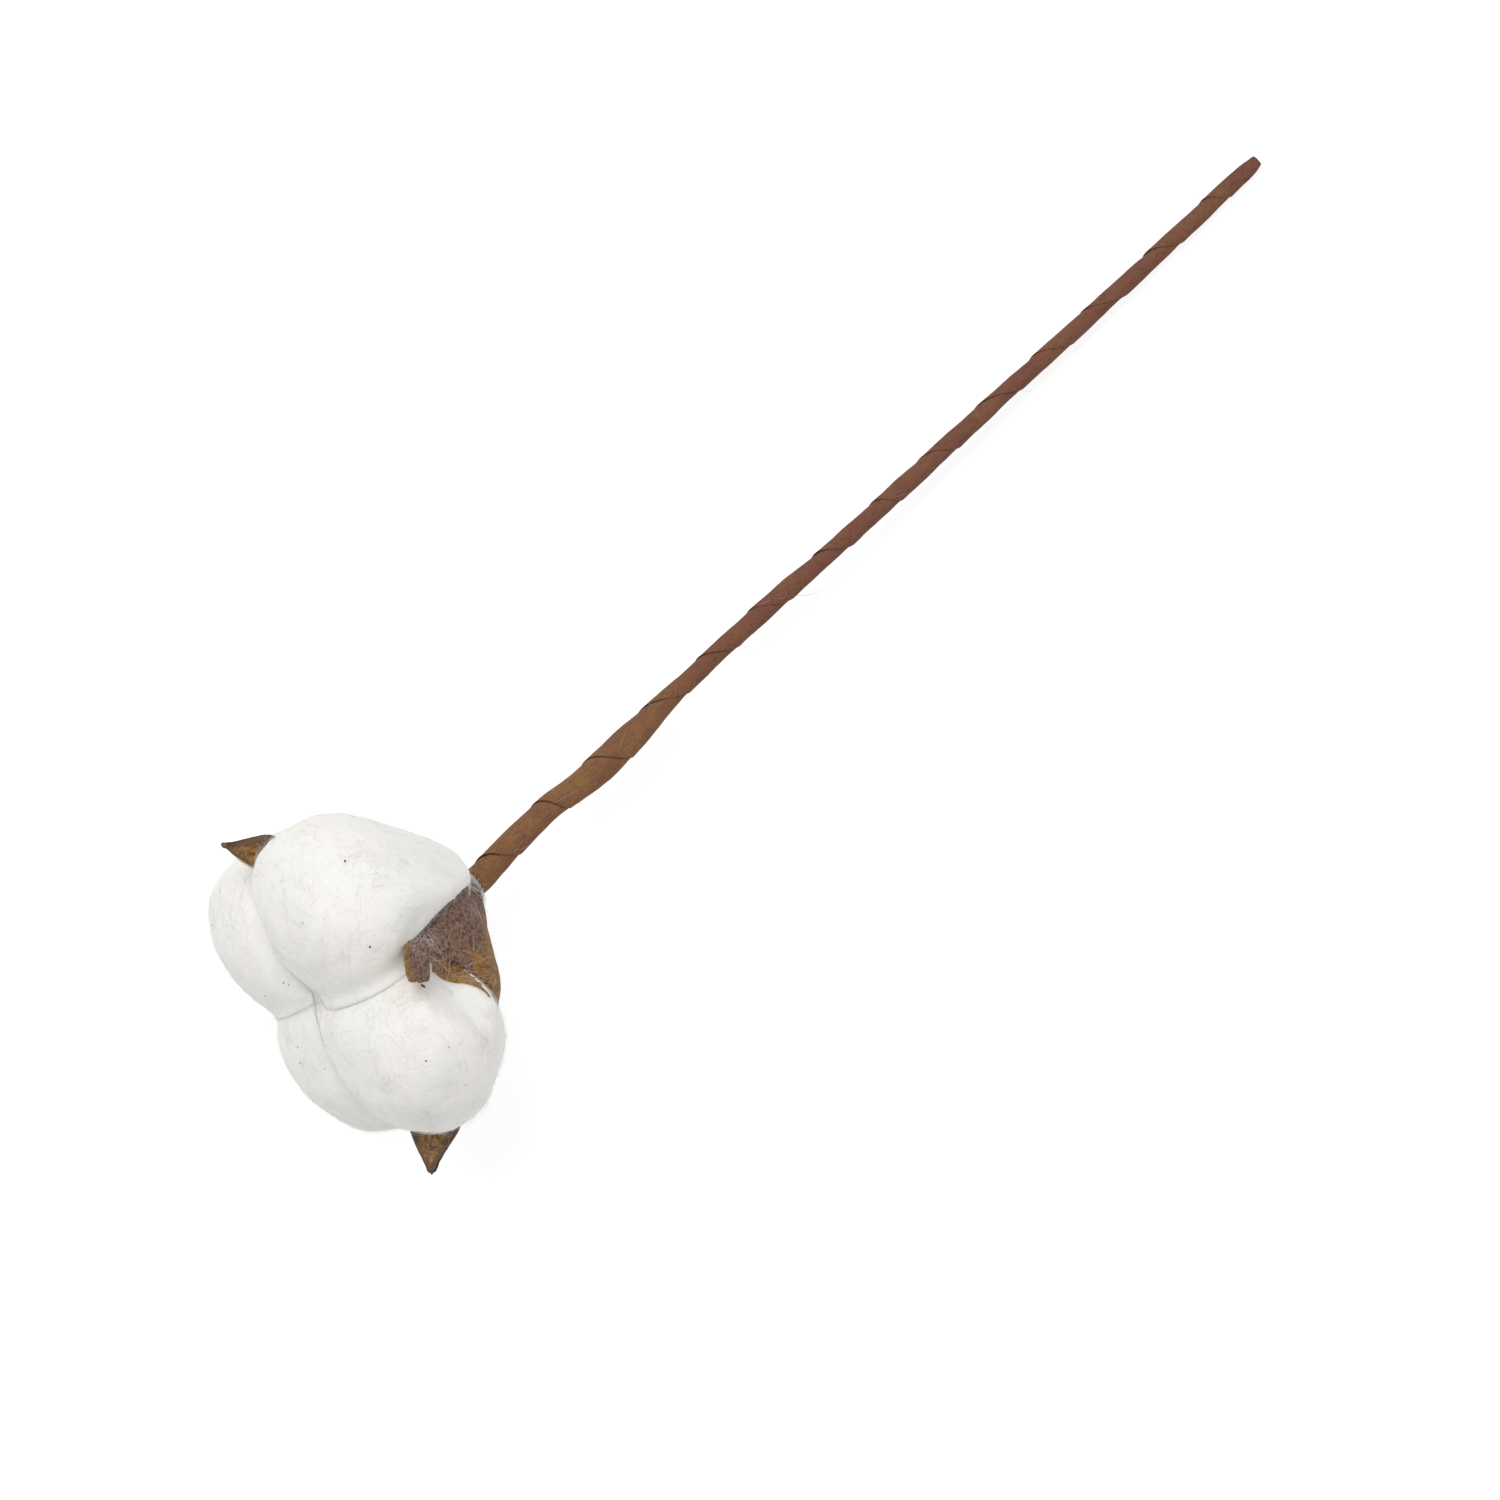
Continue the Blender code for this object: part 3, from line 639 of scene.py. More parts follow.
whole_lint.name = "whole_lint"
apply_modifier(whole_lint, "REMESH", mode="VOXEL", voxel_size=LINT_MESH)
apply_modifier(whole_lint, "SMOOTH", factor=0.5, iterations=LINT_SMOOTHING)
points = read_points(whole_lint)
in_boll = (points - np.array(JOINT)) @ boll_turn.T
from_septum = np.full(len(points), np.inf)
for valve in VALVES:
    angle = math.radians(valve["angle"])
    outwards = in_boll[:, 0] * math.cos(angle) + in_boll[:, 1] * math.sin(angle)
    aside = in_boll[:, 1] * math.cos(angle) - in_boll[:, 0] * math.sin(angle)
    from_septum = np.minimum(from_septum, np.hypot(aside, np.minimum(outwards, 0)))
husk_surface = BVHTree.FromObject(husk, bpy.context.evaluated_depsgraph_get())
from_husk = np.array([husk_surface.find_nearest(point)[3] for point in points])
in_crease = np.exp(-((from_septum / CREASE_WIDTH) ** 2)) * ramp(from_husk, *CREASE_CLEARANCE)
creases = whole_lint.vertex_groups.new(name="creases")
for index in np.flatnonzero(in_crease > FAINTEST_CREASE):
    creases.add([int(index)], float(in_crease[index]), "REPLACE")
apply_modifier(whole_lint, "SMOOTH", factor=0.5, iterations=CREASE_SMOOTHING, vertex_group="creases")
points = read_points(whole_lint)
normals = read_points(whole_lint, "vertex_normals", "vector")
facing_out = np.sum(normals * unit(points - BOLL_MIDDLE), axis=1)
height = lumps(points, LINT_TUFTS) * ramp(facing_out, *TUFTED)
height -= CREASE_DEPTH * in_crease**2 * ramp(facing_out, *TUFTED)
points = points + normals * height[:, None]
points[:, 2] = np.maximum(points[:, 2], 0)
write_points(whole_lint, points)
write_measure(whole_lint, "facing_out", facing_out)
whole_lint.data.materials.clear()
whole_lint.data.materials.append(lint_finish)
lint_surface = BVHTree.FromObject(whole_lint, bpy.context.evaluated_depsgraph_get())

lint = {}
for name in LOCKS:
    piece = whole_lint
    if name != LOCKS[-1]:
        select_only(whole_lint)
        bpy.ops.object.duplicate()
        piece = bpy.context.object
    lint[name] = piece
for index, name in enumerate(LOCKS):
    piece = lint[name]
    piece.name = name.replace("lock", "lint")
    for valve, sign in ((VALVES[index], 1), (VALVES[(index + 1) % len(VALVES)], -1)):
        in_edit_mode(piece, (bpy.ops.mesh.bisect, {
            "plane_co": JOINT, "plane_no": septum(valve) * sign, "use_fill": True, "clear_inner": True,
        }))
    piece.data.shade_smooth()
    piece.data.set_sharp_from_angle(angle=SHARPEST_SMOOTH)
    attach(piece, "root")
    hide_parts(name)

# The lint's loose hairs: fine tapered strands that lie over each lock in swirling tufts and bridge the
# creases between locks. Each is a three-sided strand, bent from one model, and the seed makes them the
# same on each run.
STRAND_SPANS = 3
STRAND_TIP = 0.3
HAIRS_PER_LOCK = 4200
HAIR_LENGTH = (1.6 * MM, 4.6 * MM)
HAIR_RADIUS = (0.01 * MM, 0.02 * MM)
FLOOR_CLEARANCE = 0.02 * MM
HAIR_SWIRL = 5.0 * MM
HAIR_DISORDER = 0.45
HAIR_RISE = (0.01, 0.04)
HAIR_CURL = 0.35
HAIRY_SIDE = (0.05, 0.35)
HAIR_FLOOR = 0.3 * MM
ROOT_SCATTER = 0.15 * MM
ROOT_DEPTH = 0.06
FLYAWAY_SHARE = 0.07
FLYAWAY_RISE = (0.1, 0.24)
LOCK_CURVE = 13.0 * MM
HAIR_SEED = 7

bpy.ops.mesh.primitive_cone_add(
    vertices=3, radius1=1, radius2=STRAND_TIP, depth=1, location=(0, 0, 0.5),
)
strand = bpy.context.object
bpy.ops.object.transform_apply(location=True)
in_edit_mode(strand, *[
    step
    for k in range(1, STRAND_SPANS)
    for step in (
        (bpy.ops.mesh.select_all, {"action": "SELECT"}),
        (bpy.ops.mesh.bisect, {"plane_co": (0, 0, k / STRAND_SPANS), "plane_no": (0, 0, 1)}),
    )
])
strand_points = read_points(strand)
strand_corners = np.array([loop.vertex_index for loop in strand.data.loops])
strand_sides = np.array([face.loop_total for face in strand.data.polygons])
bpy.data.objects.remove(strand, do_unlink=True)


def grow_hairs(name, roots, normals, headings, lengths, radii, rises, curls, hug, finish):
    """Makes one piece of many strands. Each starts at its root, runs along its heading over a surface that
    curves away with the radius hug, rises above it and curls to one side."""
    headings = unit(headings - normals * np.sum(headings * normals, axis=1, keepdims=True))
    sideways = np.cross(normals, headings)
    s = strand_points[None, :, 2:3]
    long, up, curl = (values[:, None, None] for values in (lengths, rises, curls))
    lift = up * long * np.sin(np.pi * s) - (long * s) ** 2 / (2 * hug)
    slope = up * np.pi * np.cos(np.pi * s) - long * s / hug
    bow = curl * long * s**2
    path = (
        roots[:, None] + headings[:, None] * long * s + normals[:, None] * lift + sideways[:, None] * bow
    )
    tangent = unit(headings[:, None] + normals[:, None] * slope + sideways[:, None] * 2 * curl * s)
    across = unit(np.cross(normals[:, None], tangent))
    above = np.cross(tangent, across)
    thick = radii[:, None, None]
    points = path + thick * (across * strand_points[None, :, 0:1] + above * strand_points[None, :, 1:2])
    points[:, :, 2] = np.maximum(points[:, :, 2], FLOOR_CLEARANCE)
    count = len(roots)
    mesh = bpy.data.meshes.new(name)
    corners = (strand_corners[None] + np.arange(count)[:, None] * len(strand_points)).ravel()
    sides = np.tile(strand_sides, count)
    mesh.vertices.add(count * len(strand_points))
    mesh.vertices.foreach_set("co", points.astype(np.float32).ravel())
    mesh.loops.add(len(corners))
    mesh.loops.foreach_set("vertex_index", corners)
    mesh.polygons.add(len(sides))
    mesh.polygons.foreach_set("loop_start", np.concatenate([[0], np.cumsum(sides)[:-1]]))
    mesh.update(calc_edges=True)
    mesh.materials.append(finish)
    piece = bpy.data.objects.new(name, mesh)
    bpy.context.scene.collection.objects.link(piece)
    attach(piece, "root")
    return piece


def swirl(points, size, shift):
    """A heading at each point that turns slowly from place to place, so that neighbours lie together."""
    return np.array([noise.noise_vector(Vector(point) / size + Vector((0, shift, 0))) for point in points])


draw = np.random.default_rng(HAIR_SEED)
noise.seed_set(HAIR_SEED)
for number, name in enumerate(LOCKS):
    points = read_points(lint[name])
    weight = ramp(read_measure(lint[name], "facing_out"), *HAIRY_SIDE) * (points[:, 2] > HAIR_FLOOR)
    chosen = draw.choice(len(weight), HAIRS_PER_LOCK, p=weight / weight.sum())
    roots, normals = points[chosen], read_points(lint[name], "vertex_normals", "vector")[chosen]
    roots = roots + draw.normal(0, ROOT_SCATTER, roots.shape) - normals * ROOT_DEPTH * MM
    headings = unit(swirl(roots, HAIR_SWIRL, number)) + draw.normal(0, HAIR_DISORDER, roots.shape)
    count = len(roots)
    flyaway = draw.random(count) < FLYAWAY_SHARE
    grow_hairs(
        name.replace("lock", "hairs"), roots, normals, headings,
        draw.uniform(*HAIR_LENGTH, count), draw.uniform(*HAIR_RADIUS, count),
        np.where(flyaway, draw.uniform(*FLYAWAY_RISE, count), draw.uniform(*HAIR_RISE, count)),
        draw.normal(0, HAIR_CURL, count), LOCK_CURVE, lint_finish,
    )

# Lint that clings to the bur: fine hairs pulled from the locks over the cup and the valves, thickest beside
# the locks. Those right at the border are white, dust from the husk has turned the others pinkish grey, and
# a few long ones lie across it.
CLINGING_HAIRS = 1900
CLING_REACH = 1.7 * MM
FRINGE_HAIRS = 1500
FRINGE_REACH = 0.8 * MM
CLING_STAND_OFF = 0.4 * MM
OVERHANG = 6.0 * MM
CLING_LENGTH = (0.8 * MM, 3.0 * MM)
CLING_RADIUS = (0.012 * MM, 0.024 * MM)
LONG_STRANDS = 60
STRAND_LENGTH = (4 * MM, 8 * MM)
STRAND_RADIUS = (0.025 * MM, 0.045 * MM)
DUSTY_HAIR = (0.45, 0.33, 0.28)
PALE_HAIR = (0.78, 0.67, 0.62)
DUST_SIZE = 1.5 * MM
OUTER_LIMIT = 0.2
STRAY_SHARE = 0.01
GOLD_BARENESS = 0.8
CLING_SCATTER = 0.12 * MM
CLING_SWIRL = 3 * MM
CLING_SHIFT = 9
CLING_DISORDER = 0.5
CLING_RISE = (0.02, 0.1)
CLING_CURL = 0.5
CLING_CURVE = 16 * MM

dusty_finish, shade, shader = new_finish("dusty lint")
colour = blend(grain(shade, DUST_SIZE), DUSTY_HAIR, PALE_HAIR)
feed(shader, Base_Color=colour, Roughness=0.9, Specular_IOR_Level=0.1)
husk_points = read_points(husk)
husk_normals = read_points(husk, "vertex_normals", "vector")
stand_off = husk_points + husk_normals * CLING_STAND_OFF
lint_distance = np.array([lint_surface.find_nearest(point)[3] for point in stand_off])
exposed = np.array([
    lint_surface.ray_cast(Vector(point), Vector(normal), OVERHANG)[0] is None
    for point, normal in zip(stand_off, husk_normals)
])
outer_face, gold = read_measure(husk, "inside") < OUTER_LIMIT, read_measure(husk, "gold")
for name, count, lengths, radii, reach, finish in (
    ("hairs_on_husk", CLINGING_HAIRS, CLING_LENGTH, CLING_RADIUS, CLING_REACH, dusty_finish),
    ("fringe_on_husk", FRINGE_HAIRS, CLING_LENGTH, CLING_RADIUS, FRINGE_REACH, lint_finish),
    ("strands_on_husk", LONG_STRANDS, STRAND_LENGTH, STRAND_RADIUS, CLING_REACH, dusty_finish),
):
    near_lint = np.exp(-((lint_distance / reach) ** 2)) + STRAY_SHARE
    weight = near_lint * exposed * outer_face * (1 - GOLD_BARENESS * gold)
    chosen = draw.choice(len(weight), count, p=weight / weight.sum())
    roots, normals = husk_points[chosen], husk_normals[chosen]
    roots = roots + draw.normal(0, CLING_SCATTER, roots.shape)
    headings = unit(swirl(roots, CLING_SWIRL, CLING_SHIFT)) + draw.normal(0, CLING_DISORDER, roots.shape)
    grow_hairs(
        name, roots, normals, headings, draw.uniform(*lengths, count), draw.uniform(*radii, count),
        draw.uniform(*CLING_RISE, count), draw.normal(0, CLING_CURL, count), CLING_CURVE, finish,
    )

# The collar where the stalk leaves the bur: strands of lint twisted round the neck and tucked under the
# paper's first turn.
COLLAR_STRANDS = 300
COLLAR_SPAN = (-2.8 * MM, -0.5 * MM)
COLLAR_DEPTH = 0.35 * MM
COLLAR_SLANT = (-0.5, 0.5)
COLLAR_LENGTH = (1.2 * MM, 2.6 * MM)
TWISTED_RADIUS = (0.025 * MM, 0.065 * MM)
TWISTED_RISE = (0.0, 0.1)
TWISTED_CURL = 0.3
COLLAR_CURVE = 2.6 * MM
at = draw.uniform(*COLLAR_SPAN, COLLAR_STRANDS)
middle, _, side, upward = along_course(at)
angle = draw.uniform(0, 2 * math.pi, (COLLAR_STRANDS, 1))
normals = side * np.cos(angle) + upward * np.sin(angle)
thick = np.interp(at / MM, *zip(*STALK_RADII))[:, None] * MM
roots = middle + normals * (thick + draw.uniform(0, COLLAR_DEPTH, (COLLAR_STRANDS, 1)))
around = upward * np.cos(angle) - side * np.sin(angle)
headings = np.cross(around, normals) * draw.normal(*COLLAR_SLANT, (COLLAR_STRANDS, 1)) - around
grow_hairs(
    "collar_strands", roots, normals, headings, draw.uniform(*COLLAR_LENGTH, COLLAR_STRANDS),
    draw.uniform(*TWISTED_RADIUS, COLLAR_STRANDS), draw.uniform(*TWISTED_RISE, COLLAR_STRANDS),
    draw.normal(0, TWISTED_CURL, COLLAR_STRANDS), COLLAR_CURVE, lint_finish,
)

# The neck of the bur, just past the collar: more of the same lint, pulled out of the locks and twisted
# round the husk where it narrows to the stalk.
NECK_STRANDS = 650
NECK_REACH = 3.0 * MM
NECK_DEPTH = 0.3 * MM
NECK_SLANT = (0.1, 0.6)
NECK_LENGTH = (1.2 * MM, 3.4 * MM)
NECK_CURVE = 3.2 * MM
in_boll = (husk_points - np.array(JOINT)) @ boll_turn.T
weight = outer_face * np.exp(-((np.linalg.norm(in_boll, axis=1) / NECK_REACH) ** 2))
chosen = draw.choice(len(weight), NECK_STRANDS, p=weight / weight.sum())
normals = husk_normals[chosen]
roots = husk_points[chosen] + normals * draw.uniform(0, NECK_DEPTH, (NECK_STRANDS, 1))
around = np.cross(np.array(boll_axis), normals)
headings = around + np.array(boll_axis) * draw.normal(*NECK_SLANT, (NECK_STRANDS, 1))
grow_hairs(
    "neck_strands", roots, normals, headings, draw.uniform(*NECK_LENGTH, NECK_STRANDS),
    draw.uniform(*TWISTED_RADIUS, NECK_STRANDS), draw.uniform(*TWISTED_RISE, NECK_STRANDS),
    draw.normal(0, TWISTED_CURL, NECK_STRANDS), NECK_CURVE, lint_finish,
)

# The rim's turned-out lining beside the finger-like valve: a thin golden lip, part of the dried bur, that
# grew on from its edge and lies over the lint from that valve to the next.
LIP_START = 0.5
LIP_WIDTHS = [(0.0, 3.8), (0.25, 4.8), (0.5, 4.8), (0.7, 3.9), (0.86, 2.9), (1.0, 1.8)]
LIP_TUCK = 1.9 * MM
LIP_SHIFTS = [(0.0, 0.0), (0.35, 0.0), (0.65, 2.2), (0.8, 2.0), (1.0, 0.4)]
LIP_SHIFT_LOSS = 0.4
LIP_SOFTENING = 0.05
LIP_LIFT = (0.06 * MM, 0.2 * MM)
LIFT_SPAN = (0, 0.3)
LIP_DROP = 0.6 * MM
LIP_SLOPE = 2.5 * MM
LIP_WALL = 0.35 * MM
LIP_COLUMNS = 44
LIP_ROWS = 12
ABOVE_ALL = 0.1
LIP_DOWN = np.array(-picture_up)


def first_hit(start, heading):
    """The nearest point of the lint along a line, with its normal, or None."""
    hit = lint_surface.ray_cast(start, heading)
    return hit if hit[0] else None


bpy.ops.mesh.primitive_grid_add(x_subdivisions=LIP_COLUMNS, y_subdivisions=LIP_ROWS, size=2)
lip = bpy.context.object
lip.name = "turned_lip"
grid = read_points(lip)
u, v = (grid[:, 0] + 1) / 2, (grid[:, 1] + 1) / 2
edge = from_boll(valve_points(FINGER_NUMBER, np.full_like(u, -1.0), LIP_START * (1 - u)))
downwards = eased(LIP_WIDTHS, u, LIP_SOFTENING) * MM * v - LIP_TUCK
rightwards = eased(LIP_SHIFTS, u, LIP_SOFTENING) * MM * (1 - LIP_SHIFT_LOSS * v)
points = edge + LIP_DOWN * downwards[:, None]
points += np.array(picture_right) * rightwards[:, None]
for k, point in enumerate(points):
    hit = first_hit(Vector((point[0], point[1], ABOVE_ALL)), Vector((0, 0, -1)))
    under_edge = point[2] - LIP_DROP - LIP_SLOPE * v[k]
    lift = LIP_LIFT[0] + (LIP_LIFT[1] - LIP_LIFT[0]) * float(ramp(v[k], *LIFT_SPAN))
    points[k, 2] = max(under_edge, hit[0].z + lift) if hit else under_edge
write_points(lip, points)
write_measure(lip, "inside", np.ones(len(points)))
if read_points(lip, "vertex_normals", "vector")[:, 2].mean() < 0:
    in_edit_mode(lip, (bpy.ops.mesh.flip_normals, {}))
apply_modifier(lip, "SOLIDIFY", thickness=LIP_WALL, offset=-1)
lip.data.shade_smooth()
lip.data.materials.append(husk_finish)
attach(lip, "root")

# Bits of dried leaf caught in the lint: tiny dark flakes, a dozen of them where the photograph shows them
# and the rest strewn over the other sides.
SPECKS_IN_PICTURE = [
    (345, 861, 0.28), (370, 947, 0.24), (265, 996, 0.2), (262, 1017, 0.16),
    (300, 1063, 0.2), (325, 1069, 0.14), (212, 925, 0.16), (449, 1047, 0.15),
    (466, 1085, 0.12), (303, 923, 0.14), (423, 986, 0.5), (426, 1061, 0.2),
]
OTHER_SPECKS = 26
OTHER_SIZES = (0.12, 0.24)
MOST_UPWARD = 0.75
SPECK_FLOOR = 0.5 * MM
FAR_OUTSIDE = 0.06
SPECK_BREADTH = (0.5, 0.8)
SPECK_THICKNESS = 0.3
FULL_TURN = 6.28
SPECK_GRAIN = 0.1 * MM
SPECK_DARK = (0.1, 0.07, 0.055)

speck_finish, shade, shader = new_finish("dried leaf")
feed(shader, Base_Color=blend(grain(shade, SPECK_GRAIN), SPECK_DARK, HUSK_PURPLE), Roughness=0.8)
specks = []
places = []
for x, y, size in SPECKS_IN_PICTURE:
    hit = first_hit(camera_place, (from_picture(x, y) - camera_place).normalized())
    if hit:
        places.append((hit[0], hit[1], size))
while len(places) < len(SPECKS_IN_PICTURE) + OTHER_SPECKS:
    outward = Vector(draw.normal(0, 1, 3)).normalized()
    hit = first_hit(Vector(BOLL_MIDDLE) + outward * FAR_OUTSIDE, -outward)
    if hit and outward.z < MOST_UPWARD and hit[0].z > SPECK_FLOOR:
        places.append((hit[0], hit[1], draw.uniform(*OTHER_SIZES)))
for place, normal, size in places:
    bpy.ops.mesh.primitive_ico_sphere_add(subdivisions=1, radius=size * MM)
    speck = bpy.context.object
    stretched = Matrix.Diagonal((1.0, draw.uniform(*SPECK_BREADTH), SPECK_THICKNESS, 1.0))
    laid = normal.to_track_quat("Z", "Y").to_matrix().to_4x4()
    turned = Matrix.Rotation(draw.uniform(0, FULL_TURN), 4, "Z")
    speck.data.transform(Matrix.Translation(place) @ (laid @ turned) @ stretched)
    specks.append(speck)
bpy.ops.object.select_all(action="DESELECT")
for speck in specks:
    speck.select_set(True)
bpy.context.view_layer.objects.active = specks[0]
bpy.ops.object.join()
specks = bpy.context.object
specks.name = "leaf_specks"
specks.data.materials.append(speck_finish)
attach(specks, "root")

# The wire that lengthens the stalk: plain drawn steel, cut to length and hidden in the paper. Its solid is
# shown as it is, with streaks drawn out along it.
WIRE_DARK = (0.3, 0.3, 0.31)
WIRE_LIGHT = (0.42, 0.42, 0.43)
DRAWN_SIZE = 0.4 * MM
wire_finish, shade, shader = new_finish("drawn wire")
drawn = grain(shade, DRAWN_SIZE, stretch=(0.05, 1, 1))
colour = blend(drawn, WIRE_DARK, WIRE_LIGHT)
feed(shader, Base_Color=colour, Metallic=1.0, Roughness=0.35 + drawn * 0.2)
wire = frame["nodes"]["stem_wire"]
wire.data.materials.clear()
wire.data.materials.append(wire_finish)

# The stem's paper: brown crepe tape, wound in a spiral over the stalk and the wire from the bur to the
# end. Each turn overlaps the one before, so its edge stands a little proud, and it is folded in at the end.
TAPE_START = -0.9 * MM
TAPE_END = 161.2 * MM
TAPE_PITCH = 11.4 * MM
TAPE_PHASE = 0.24
TAPE_EDGE = 0.2 * MM
TAPE_SIDES = 40
TAPE_ROWS = 26
TAPE_OVERLAP = 0.3
TAPE_WALL = 0.1 * MM
TAPE_PROFILE = [(0.0, 0.0), (0.03, 0.08), (0.5, 0.4), (1.0, 1.0), (1.3, 1.7)]
TAPE_CREASES = [(5.0 * MM, 0.12 * MM), (1.6 * MM, 0.05 * MM)]
FOLD = 1.6 * MM
FOLD_END = 0.02
TURNS_BEFORE = 2
TURNS_AFTER = 1
EDGE_WAVES = ((0.07, 2.1, 0), (0.05, 5.3, 1))


def wander(turn):
    """How far the paper's edge strays from an even spiral, in turns."""
    return sum(size * np.sin(turn * pace + start) for size, pace, start in EDGE_WAVES)


turns = math.ceil((TAPE_END - TAPE_START) / TAPE_PITCH) + TURNS_BEFORE + TURNS_AFTER
bpy.ops.mesh.primitive_grid_add(x_subdivisions=turns * TAPE_SIDES, y_subdivisions=TAPE_ROWS, size=2)
paper = bpy.context.object
paper.name = "paper_wrap"
grid = read_points(paper)
turn = (grid[:, 0] + 1) / 2 * turns - TURNS_BEFORE
rise = (grid[:, 1] + 1) / 2 * (1 + TAPE_OVERLAP)
along = TAPE_START + TAPE_PITCH * (turn + rise + wander(turn))
kept = np.clip(along, TAPE_START, TAPE_END)
middle, radius, side, upward = along_course(kept)
angle = 2 * math.pi * (turn - TAPE_PHASE)[:, None]
round_it = side * np.cos(angle) + upward * np.sin(angle)
folded = np.clip(1 - np.abs(along - kept) / FOLD, FOLD_END, 1)
sunk = np.interp(rise, *zip(*TAPE_PROFILE)) * TAPE_EDGE
points = middle + round_it * ((radius - sunk) * folded)[:, None]
points += round_it * (lumps(points, TAPE_CREASES) * folded)[:, None]
points[:, 2] = np.maximum(points[:, 2], TAPE_WALL)
write_points(paper, points)
write_measure(paper, "edge_gap", (1 + wander(turn + 1) - wander(turn) - rise) * TAPE_PITCH / MM)
write_measure(paper, "from_edge", rise * TAPE_PITCH / MM)
outwards = np.sum(read_points(paper, "vertex_normals", "vector") * round_it, axis=1)
if outwards.mean() < 0:
    in_edit_mode(paper, (bpy.ops.mesh.flip_normals, {}))
apply_modifier(paper, "SOLIDIFY", thickness=TAPE_WALL, offset=-1)
paper.data.shade_smooth()

PAPER_BROWN = (0.195, 0.085, 0.045)
PAPER_DARK = (0.055, 0.024, 0.014)
PAPER_GOLD = (0.25, 0.125, 0.046)
PAPER_RED = (0.175, 0.066, 0.047)
RED_SPAN = (JOINT.x + 38 * MM, JOINT.x + 47 * MM)
EVEN_SPAN = (JOINT.x + 50 * MM, JOINT.x + 70 * MM)
PATCH_SIZE = 7 * MM
MOTTLE_SIZE = 0.9 * MM
FIBRE_SIZE = 0.26 * MM
PAPER_RELIEF = 0.15 * MM
paper_finish, shade, shader = new_finish("brown crepe paper")
edge_gap, from_edge = (
    shade.node("Attribute", {"attribute_name": name}, output="Fac") for name in ("edge_gap", "from_edge")
)
down_stem = shade.node("SeparateXYZ", None, {"Vector": shade.node("TexCoord", output="Object")})
patches = grain(shade, PATCH_SIZE, 3.0)
mottle = grain(shade, MOTTLE_SIZE, 5.0, 0.7, 0.5, stretch=(0.5, 1, 1))
fibres = grain(shade, FIBRE_SIZE, 6.0, 0.75, 1.5, stretch=(0.3, 1, 1))
far_end = between(down_stem, *EVEN_SPAN)
reddish = between(down_stem + (patches - 0.5) * 0.03, *RED_SPAN)
golden = between(patches * 0.5 + mottle, 0.68, 0.84) * (1 - reddish * 0.6)
colour = blend(golden, PAPER_BROWN, PAPER_GOLD)
colour = blend(reddish * (0.4 + between(patches, 0.6, 0.4) * 0.3), colour, PAPER_RED)
colour = blend(between(mottle, 0.5, 0.66) * 0.35, colour, PAPER_DARK)
colour = blend(between(fibres, 0.5, 0.66) * 0.7, colour, PAPER_DARK)
# Painted shadow: a dark band on each turn just beside the next turn's proud edge, where that edge's shadow
# falls, in patches and fainter towards the stem's far end.
painted_edge_shadow = between(edge_gap, 0.42, 0.1) * between(patches, 0.38, 0.5) * (1 - far_end * 0.8)
colour = blend(painted_edge_shadow * 0.85, colour, PAPER_DARK)
# Painted highlight: a lighter golden band along each turn's own proud edge.
colour = blend(between(from_edge, 0.5, 0.0) * 0.35, colour, PAPER_GOLD)
feed(
    shader,
    Base_Color=colour,
    Roughness=0.8,
    Specular_IOR_Level=0.25,
    Normal=bump(fibres * 0.5 + mottle * 0.5, 0.6, PAPER_RELIEF),
)
paper.data.materials.append(paper_finish)
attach(paper, "root")
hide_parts("stem_paper")

# Loose fibres of the paper and a little dusty lint, caught along the edges of its turns when it was wound.
# Most are near the boll.
PAPER_FIBRES = 70
FIBRE_SPAN = (JOINT.x + 2 * MM, JOINT.x + TAPE_END - 4 * MM)
EDGE_STRIP = 0.6
FIBRE_FADING = 0.04
FAR_FIBRES = 0.05
FIBRE_DISORDER = 0.5
FIBRE_LENGTH = (1.5 * MM, 4.5 * MM)
FIBRE_RADIUS = (0.015 * MM, 0.035 * MM)
FIBRE_RISE = (0.0, 0.05)
FIBRE_CURL = 0.25
FIBRE_CURVE = 8 * MM
points, normals = read_points(paper), read_points(paper, "vertex_normals", "vector")
at = points[:, 0]
weight = (read_measure(paper, "from_edge") < EDGE_STRIP) * (at > FIBRE_SPAN[0]) * (at < FIBRE_SPAN[1])
weight = weight * (np.exp((JOINT.x - at) / FIBRE_FADING) + FAR_FIBRES)
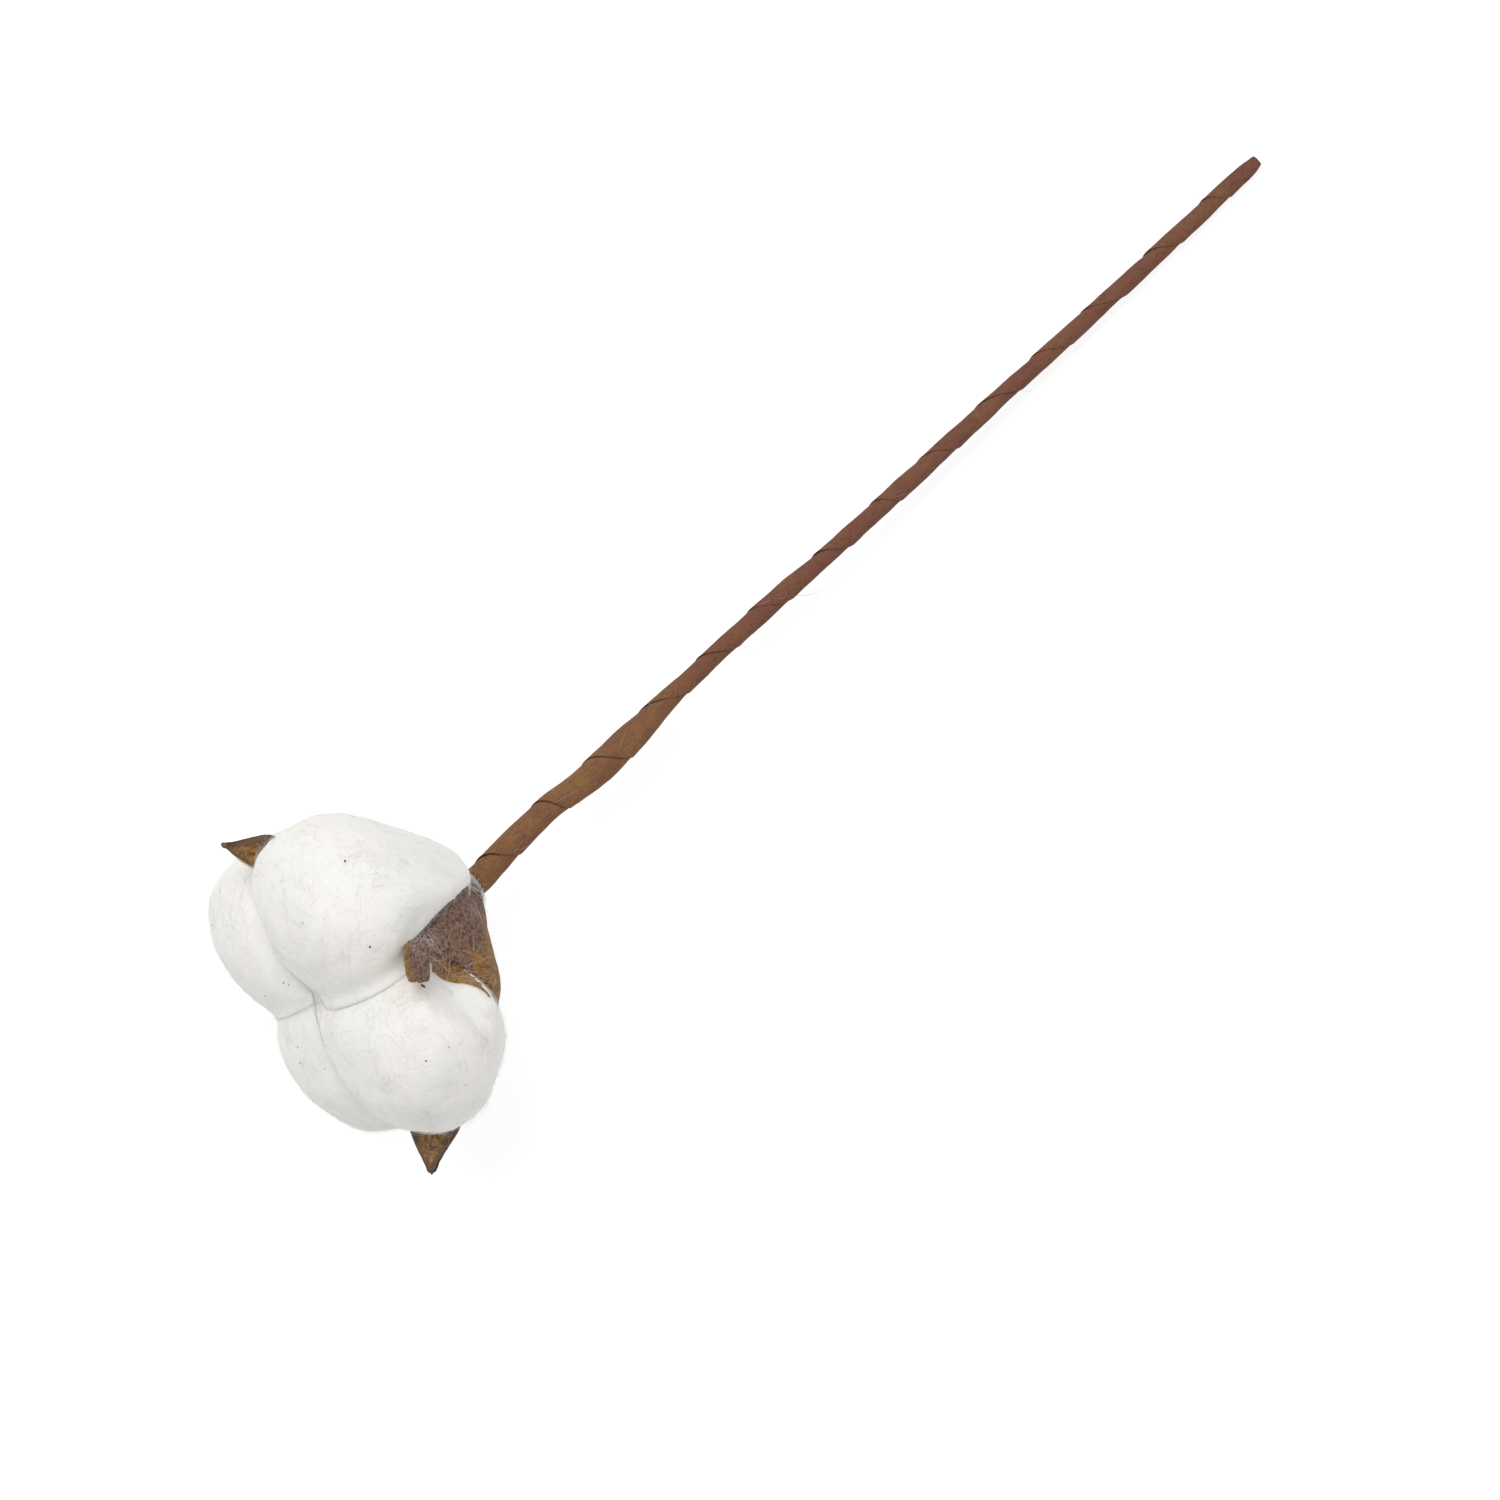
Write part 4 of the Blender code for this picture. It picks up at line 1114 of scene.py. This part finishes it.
chosen = draw.choice(len(weight), PAPER_FIBRES, p=weight / weight.sum())
headings = np.array((1.0, 0, 0)) + draw.normal(0, FIBRE_DISORDER, (PAPER_FIBRES, 3))
grow_hairs(
    "paper_fibres", points[chosen], normals[chosen], headings, draw.uniform(*FIBRE_LENGTH, PAPER_FIBRES),
    draw.uniform(*FIBRE_RADIUS, PAPER_FIBRES), draw.uniform(*FIBRE_RISE, PAPER_FIBRES),
    draw.normal(0, FIBRE_CURL, PAPER_FIBRES), FIBRE_CURVE, dusty_finish,
)

# A plain white table that glows softly, as in product photography, and the light of a small studio: a wide
# soft lamp above the picture's upper left, a weaker one across from it, and even light from all round.
TABLE_SIZE = 6
TABLE_GREY = (0.32, 0.32, 0.32, 1)
TABLE_GLOW = 0.8
TABLE_GAP = 0.02 * MM
WHITE = (1, 1, 1, 1)
LAMPS = (
    ("key", -0.4, 0.5, 1.3, 0.8, 13.3),
    ("fill", 0.7, -0.4, 1.2, 1.2, 4.0),
)
SURROUND = 0.38

bpy.ops.mesh.primitive_plane_add(size=TABLE_SIZE, location=(0, 0, -TABLE_GAP))
table = bpy.context.object
table.name = "table"
table_finish, shade, shader = new_finish("white table")
feed(
    shader, Base_Color=TABLE_GREY, Roughness=0.8, Specular_IOR_Level=0.0,
    Emission_Color=WHITE, Emission_Strength=TABLE_GLOW,
)
table.data.materials.append(table_finish)

for name, right, up, height, size, power in LAMPS:
    place = picture_middle + picture_right * right + picture_up * up + Vector((0, 0, height))
    bpy.ops.object.light_add(type="AREA", location=place)
    lamp = bpy.context.object
    lamp.name = name
    lamp.data.shape = "DISK"
    lamp.data.size = size
    lamp.data.energy = power
    lamp.rotation_euler = (picture_middle - place).to_track_quat("-Z", "Y").to_euler()
world = bpy.data.worlds.new("studio")
world.use_nodes = True
background = world.node_tree.nodes["Background"]
background.inputs["Color"].default_value = WHITE
background.inputs["Strength"].default_value = SURROUND
bpy.context.scene.world = world
bpy.context.scene.view_settings.view_transform = "Standard"
